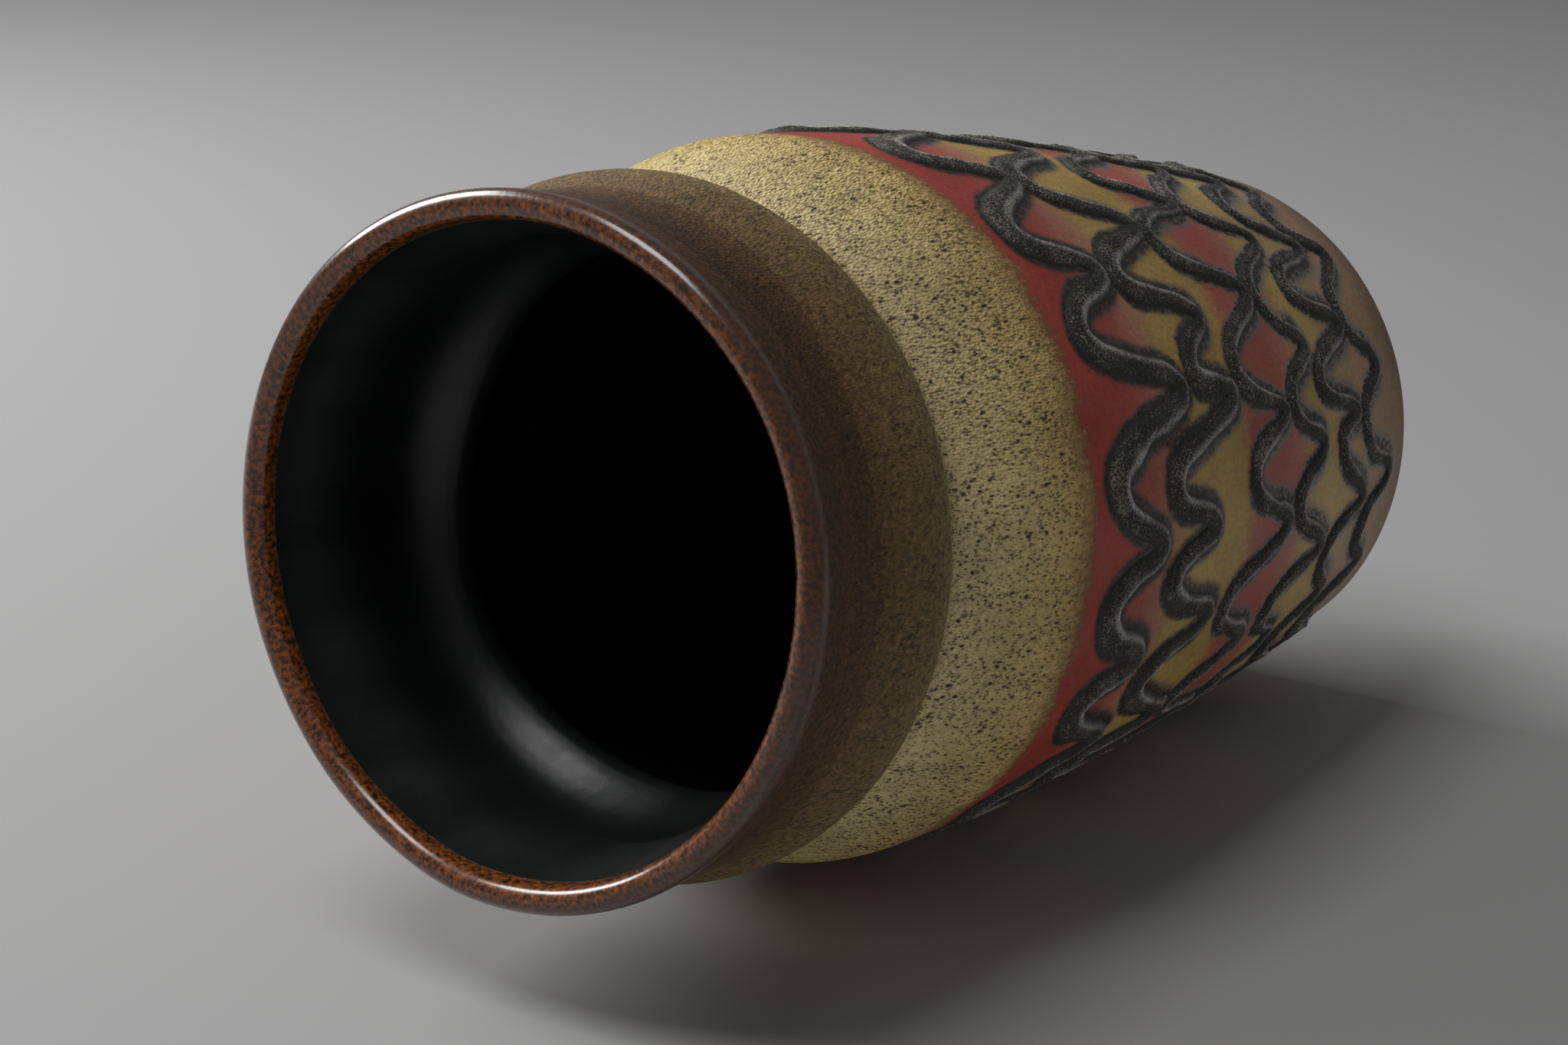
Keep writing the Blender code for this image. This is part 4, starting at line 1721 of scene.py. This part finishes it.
@dataclass(frozen=True)
class PhotoCamera:
    """The photograph's camera, held to the upright vase, so that the vase looks laid on its side.

    Angles are degrees and lengths millimetres.
    """

    azimuth: float = -70.15
    elevation: float = 54.04
    roll: float = 102.44
    distance: float = 530.3
    aim: tuple[float, float, float] = (-1.27, 3.47, 134.55)
    lens: float = 79.1
    sensor: float = 36.0

    def axes(self) -> tuple[Vector, Vector, Vector]:
        """Works out how the camera is turned.

        Returns:
            Its right, up and backward directions.
        """
        turn, rise, roll = (math.radians(a) for a in (self.azimuth, self.elevation, self.roll))
        back = Vector((math.sin(turn) * math.cos(rise), -math.cos(turn) * math.cos(rise), math.sin(rise)))
        level_right = Vector((0.0, 0.0, 1.0)).cross(back).normalized()
        level_up = back.cross(level_right)
        up = level_up * math.cos(roll) + level_right * math.sin(roll)
        return up.cross(back), up, back

    def place(self) -> bpy.types.Object:
        """Adds the camera and makes it the scene's.

        Returns:
            The camera.
        """
        right, up, back = self.axes()
        data = bpy.data.cameras.new("photo_camera")
        data.lens = self.lens
        data.sensor_width = self.sensor
        data.sensor_fit = "HORIZONTAL"
        data.clip_start = 0.01
        camera = bpy.data.objects.new("photo_camera", data)
        turned = Matrix((right, up, back)).transposed().to_4x4()
        at = (Vector(self.aim) + back * self.distance) * MM
        camera.matrix_world = Matrix.Translation(at) @ turned
        bpy.context.scene.collection.objects.link(camera)
        bpy.context.scene.camera = camera
        return camera


@dataclass(frozen=True)
class Lamp:
    """One soft panel, placed by the room's right, up and towards-the-camera directions.

    Its distance and sizes are metres, and its power watts.
    """

    name: str
    towards: tuple[float, float, float]
    distance: float
    size: tuple[float, float]
    power: float
    colour: str = "#ffffff"


@dataclass(frozen=True)
class Studio:
    """Plain pale floor under the laid-down vase, soft panels and an even grey surround.

    The floor's side is metres, its clearance from the vase's turned outside millimetres.
    """

    shape: VaseShape
    camera: PhotoCamera
    lean: float = 6.05
    clearance: float = 1.75
    floor_size: float = 5.0
    outline_rows: int = 400
    floor_colour: str = "#9e9e9e"
    surround: float = 0.17
    background: str = "#919191"
    lamps: tuple[Lamp, ...] = (
        Lamp("key_panel", (-0.74, 0.54, -0.41), 1.1, (0.6, 0.6), 12.6),
        Lamp("overhead_panel", (-0.32, 0.91, 0.26), 1.2, (0.5, 0.5), 5.5),
        Lamp("bounce_panel", (0.36, -0.8, 0.48), 1.4, (1.2, 1.2), 3.2),
    )

    def up(self) -> Vector:
        """The floor's normal: the vase lies on its belly and foot, so its axis leans off the floor."""
        lean = math.radians(self.lean)
        return Vector((0.0, -math.cos(lean), math.sin(lean)))

    def floor_level(self) -> float:
        """Finds where the floor just touches the vase.

        Returns:
            Height along the floor's normal, in millimetres.
        """
        z = np.linspace(self.shape.foot_height, self.shape.height, self.outline_rows)
        up = self.up()
        return float((up.y * self.shape.outside(z) + up.z * z).min()) - self.clearance

    def build(self) -> None:
        """Adds the floor, the lamps and the surround."""
        up = self.up()
        right, _, _ = self.camera.axes()
        right = (right - up * right.dot(up)).normalized()
        near = right.cross(up)
        self._floor(right, near, up)
        middle = Vector((0.0, 0.0, self.shape.height / 2.0)) * MM
        for lamp in self.lamps:
            towards = right * lamp.towards[0] + up * lamp.towards[1] + near * lamp.towards[2]
            self._lamp(lamp, middle, towards.normalized())
        self._surround()

    def _floor(self, right: Vector, near: Vector, up: Vector) -> None:
        """Adds the floor, seen only from above so that views from below it show the vase.

        Args:
            right: The room's right.
            near: The room's direction towards the camera.
            up: The floor's normal.
        """
        half = self.floor_size / 2.0
        centre = up * self.floor_level() * MM
        across = np.array([(-1.0, 1.0), (1.0, 1.0), (1.0, -1.0), (-1.0, -1.0)]) * half
        points = np.array(centre) + across[:, :1] * np.array(right) + across[:, 1:] * np.array(near)
        material, tree, shader = new_tree("pale_floor")
        shader.inputs["Base Color"].default_value = linear(self.floor_colour)
        shader.inputs["Roughness"].default_value = 0.9
        shader.inputs["Specular IOR Level"].default_value = 0.1
        behind = add_node(tree, "ShaderNodeNewGeometry").outputs["Backfacing"]
        clear = add_node(tree, "ShaderNodeBsdfTransparent").outputs[0]
        mixed = add_node(tree, "ShaderNodeMixShader", {0: behind, 1: shader.outputs[0], 2: clear})
        tree.links.new(mixed.outputs[0], tree.nodes["Material Output"].inputs["Surface"])
        floor = add_mesh("floor", points / MM, [np.array([[0, 1, 2, 3]])], material)
        # The panel under the floor lights the side that the vase lies on.
        floor.visible_shadow = False

    @staticmethod
    def _lamp(lamp: Lamp, middle: Vector, towards: Vector) -> None:
        """Adds one rectangular panel that faces the vase and isn't seen itself.

        Args:
            lamp: The panel's sizes and power.
            middle: Place that it faces.
            towards: Direction from there to the panel.
        """
        data = bpy.data.lights.new(lamp.name, "AREA")
        data.shape = "RECTANGLE"
        data.size, data.size_y = lamp.size
        data.energy = lamp.power
        data.color = linear(lamp.colour)[:3]
        panel = bpy.data.objects.new(lamp.name, data)
        panel.location = middle + towards * lamp.distance
        panel.rotation_euler = towards.to_track_quat("Z", "Y").to_euler()
        panel.visible_camera = False
        bpy.context.scene.collection.objects.link(panel)

    def _surround(self) -> None:
        """Lights the vase evenly from all round, and shows a plain grey background."""
        world = bpy.data.worlds.new("even_surround")
        bpy.context.scene.world = world
        world.use_nodes = True
        tree = world.node_tree
        light = tree.nodes["Background"]
        light.inputs["Color"].default_value = (1.0, 1.0, 1.0, 1.0)
        light.inputs["Strength"].default_value = self.surround
        seen = add_node(tree, "ShaderNodeLightPath").outputs["Is Camera Ray"]
        shown = add_node(tree, "ShaderNodeBackground", {"Color": linear(self.background), "Strength": 1.0})
        mixed = add_node(tree, "ShaderNodeMixShader", {0: seen, 1: light.outputs[0], 2: shown.outputs[0]})
        tree.links.new(mixed.outputs[0], tree.nodes["World Output"].inputs["Surface"])


def main() -> None:
    """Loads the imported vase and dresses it."""
    logging.basicConfig(level=logging.INFO, format="%(name)s %(message)s")
    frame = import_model()
    LOG.info("packed model: %d nodes", len(frame["nodes"]))
    bpy.context.scene.view_settings.view_transform = "Standard"
    shape = VaseShape()
    relief = GlazeRelief(shape, TrailNet(shape))
    pieces = [ClayBody(shape).build(), Lining(shape).build(), Lip(shape, relief, LipGlaze(shape)).build()]
    pieces += Coats(shape, relief, BandedGlaze(shape)).build()
    pieces += LavaTrails(relief).build()
    for piece in pieces:
        piece.join()
    camera = PhotoCamera()
    camera.place()
    Studio(shape, camera).build()


if __name__ == "__main__":
    main()
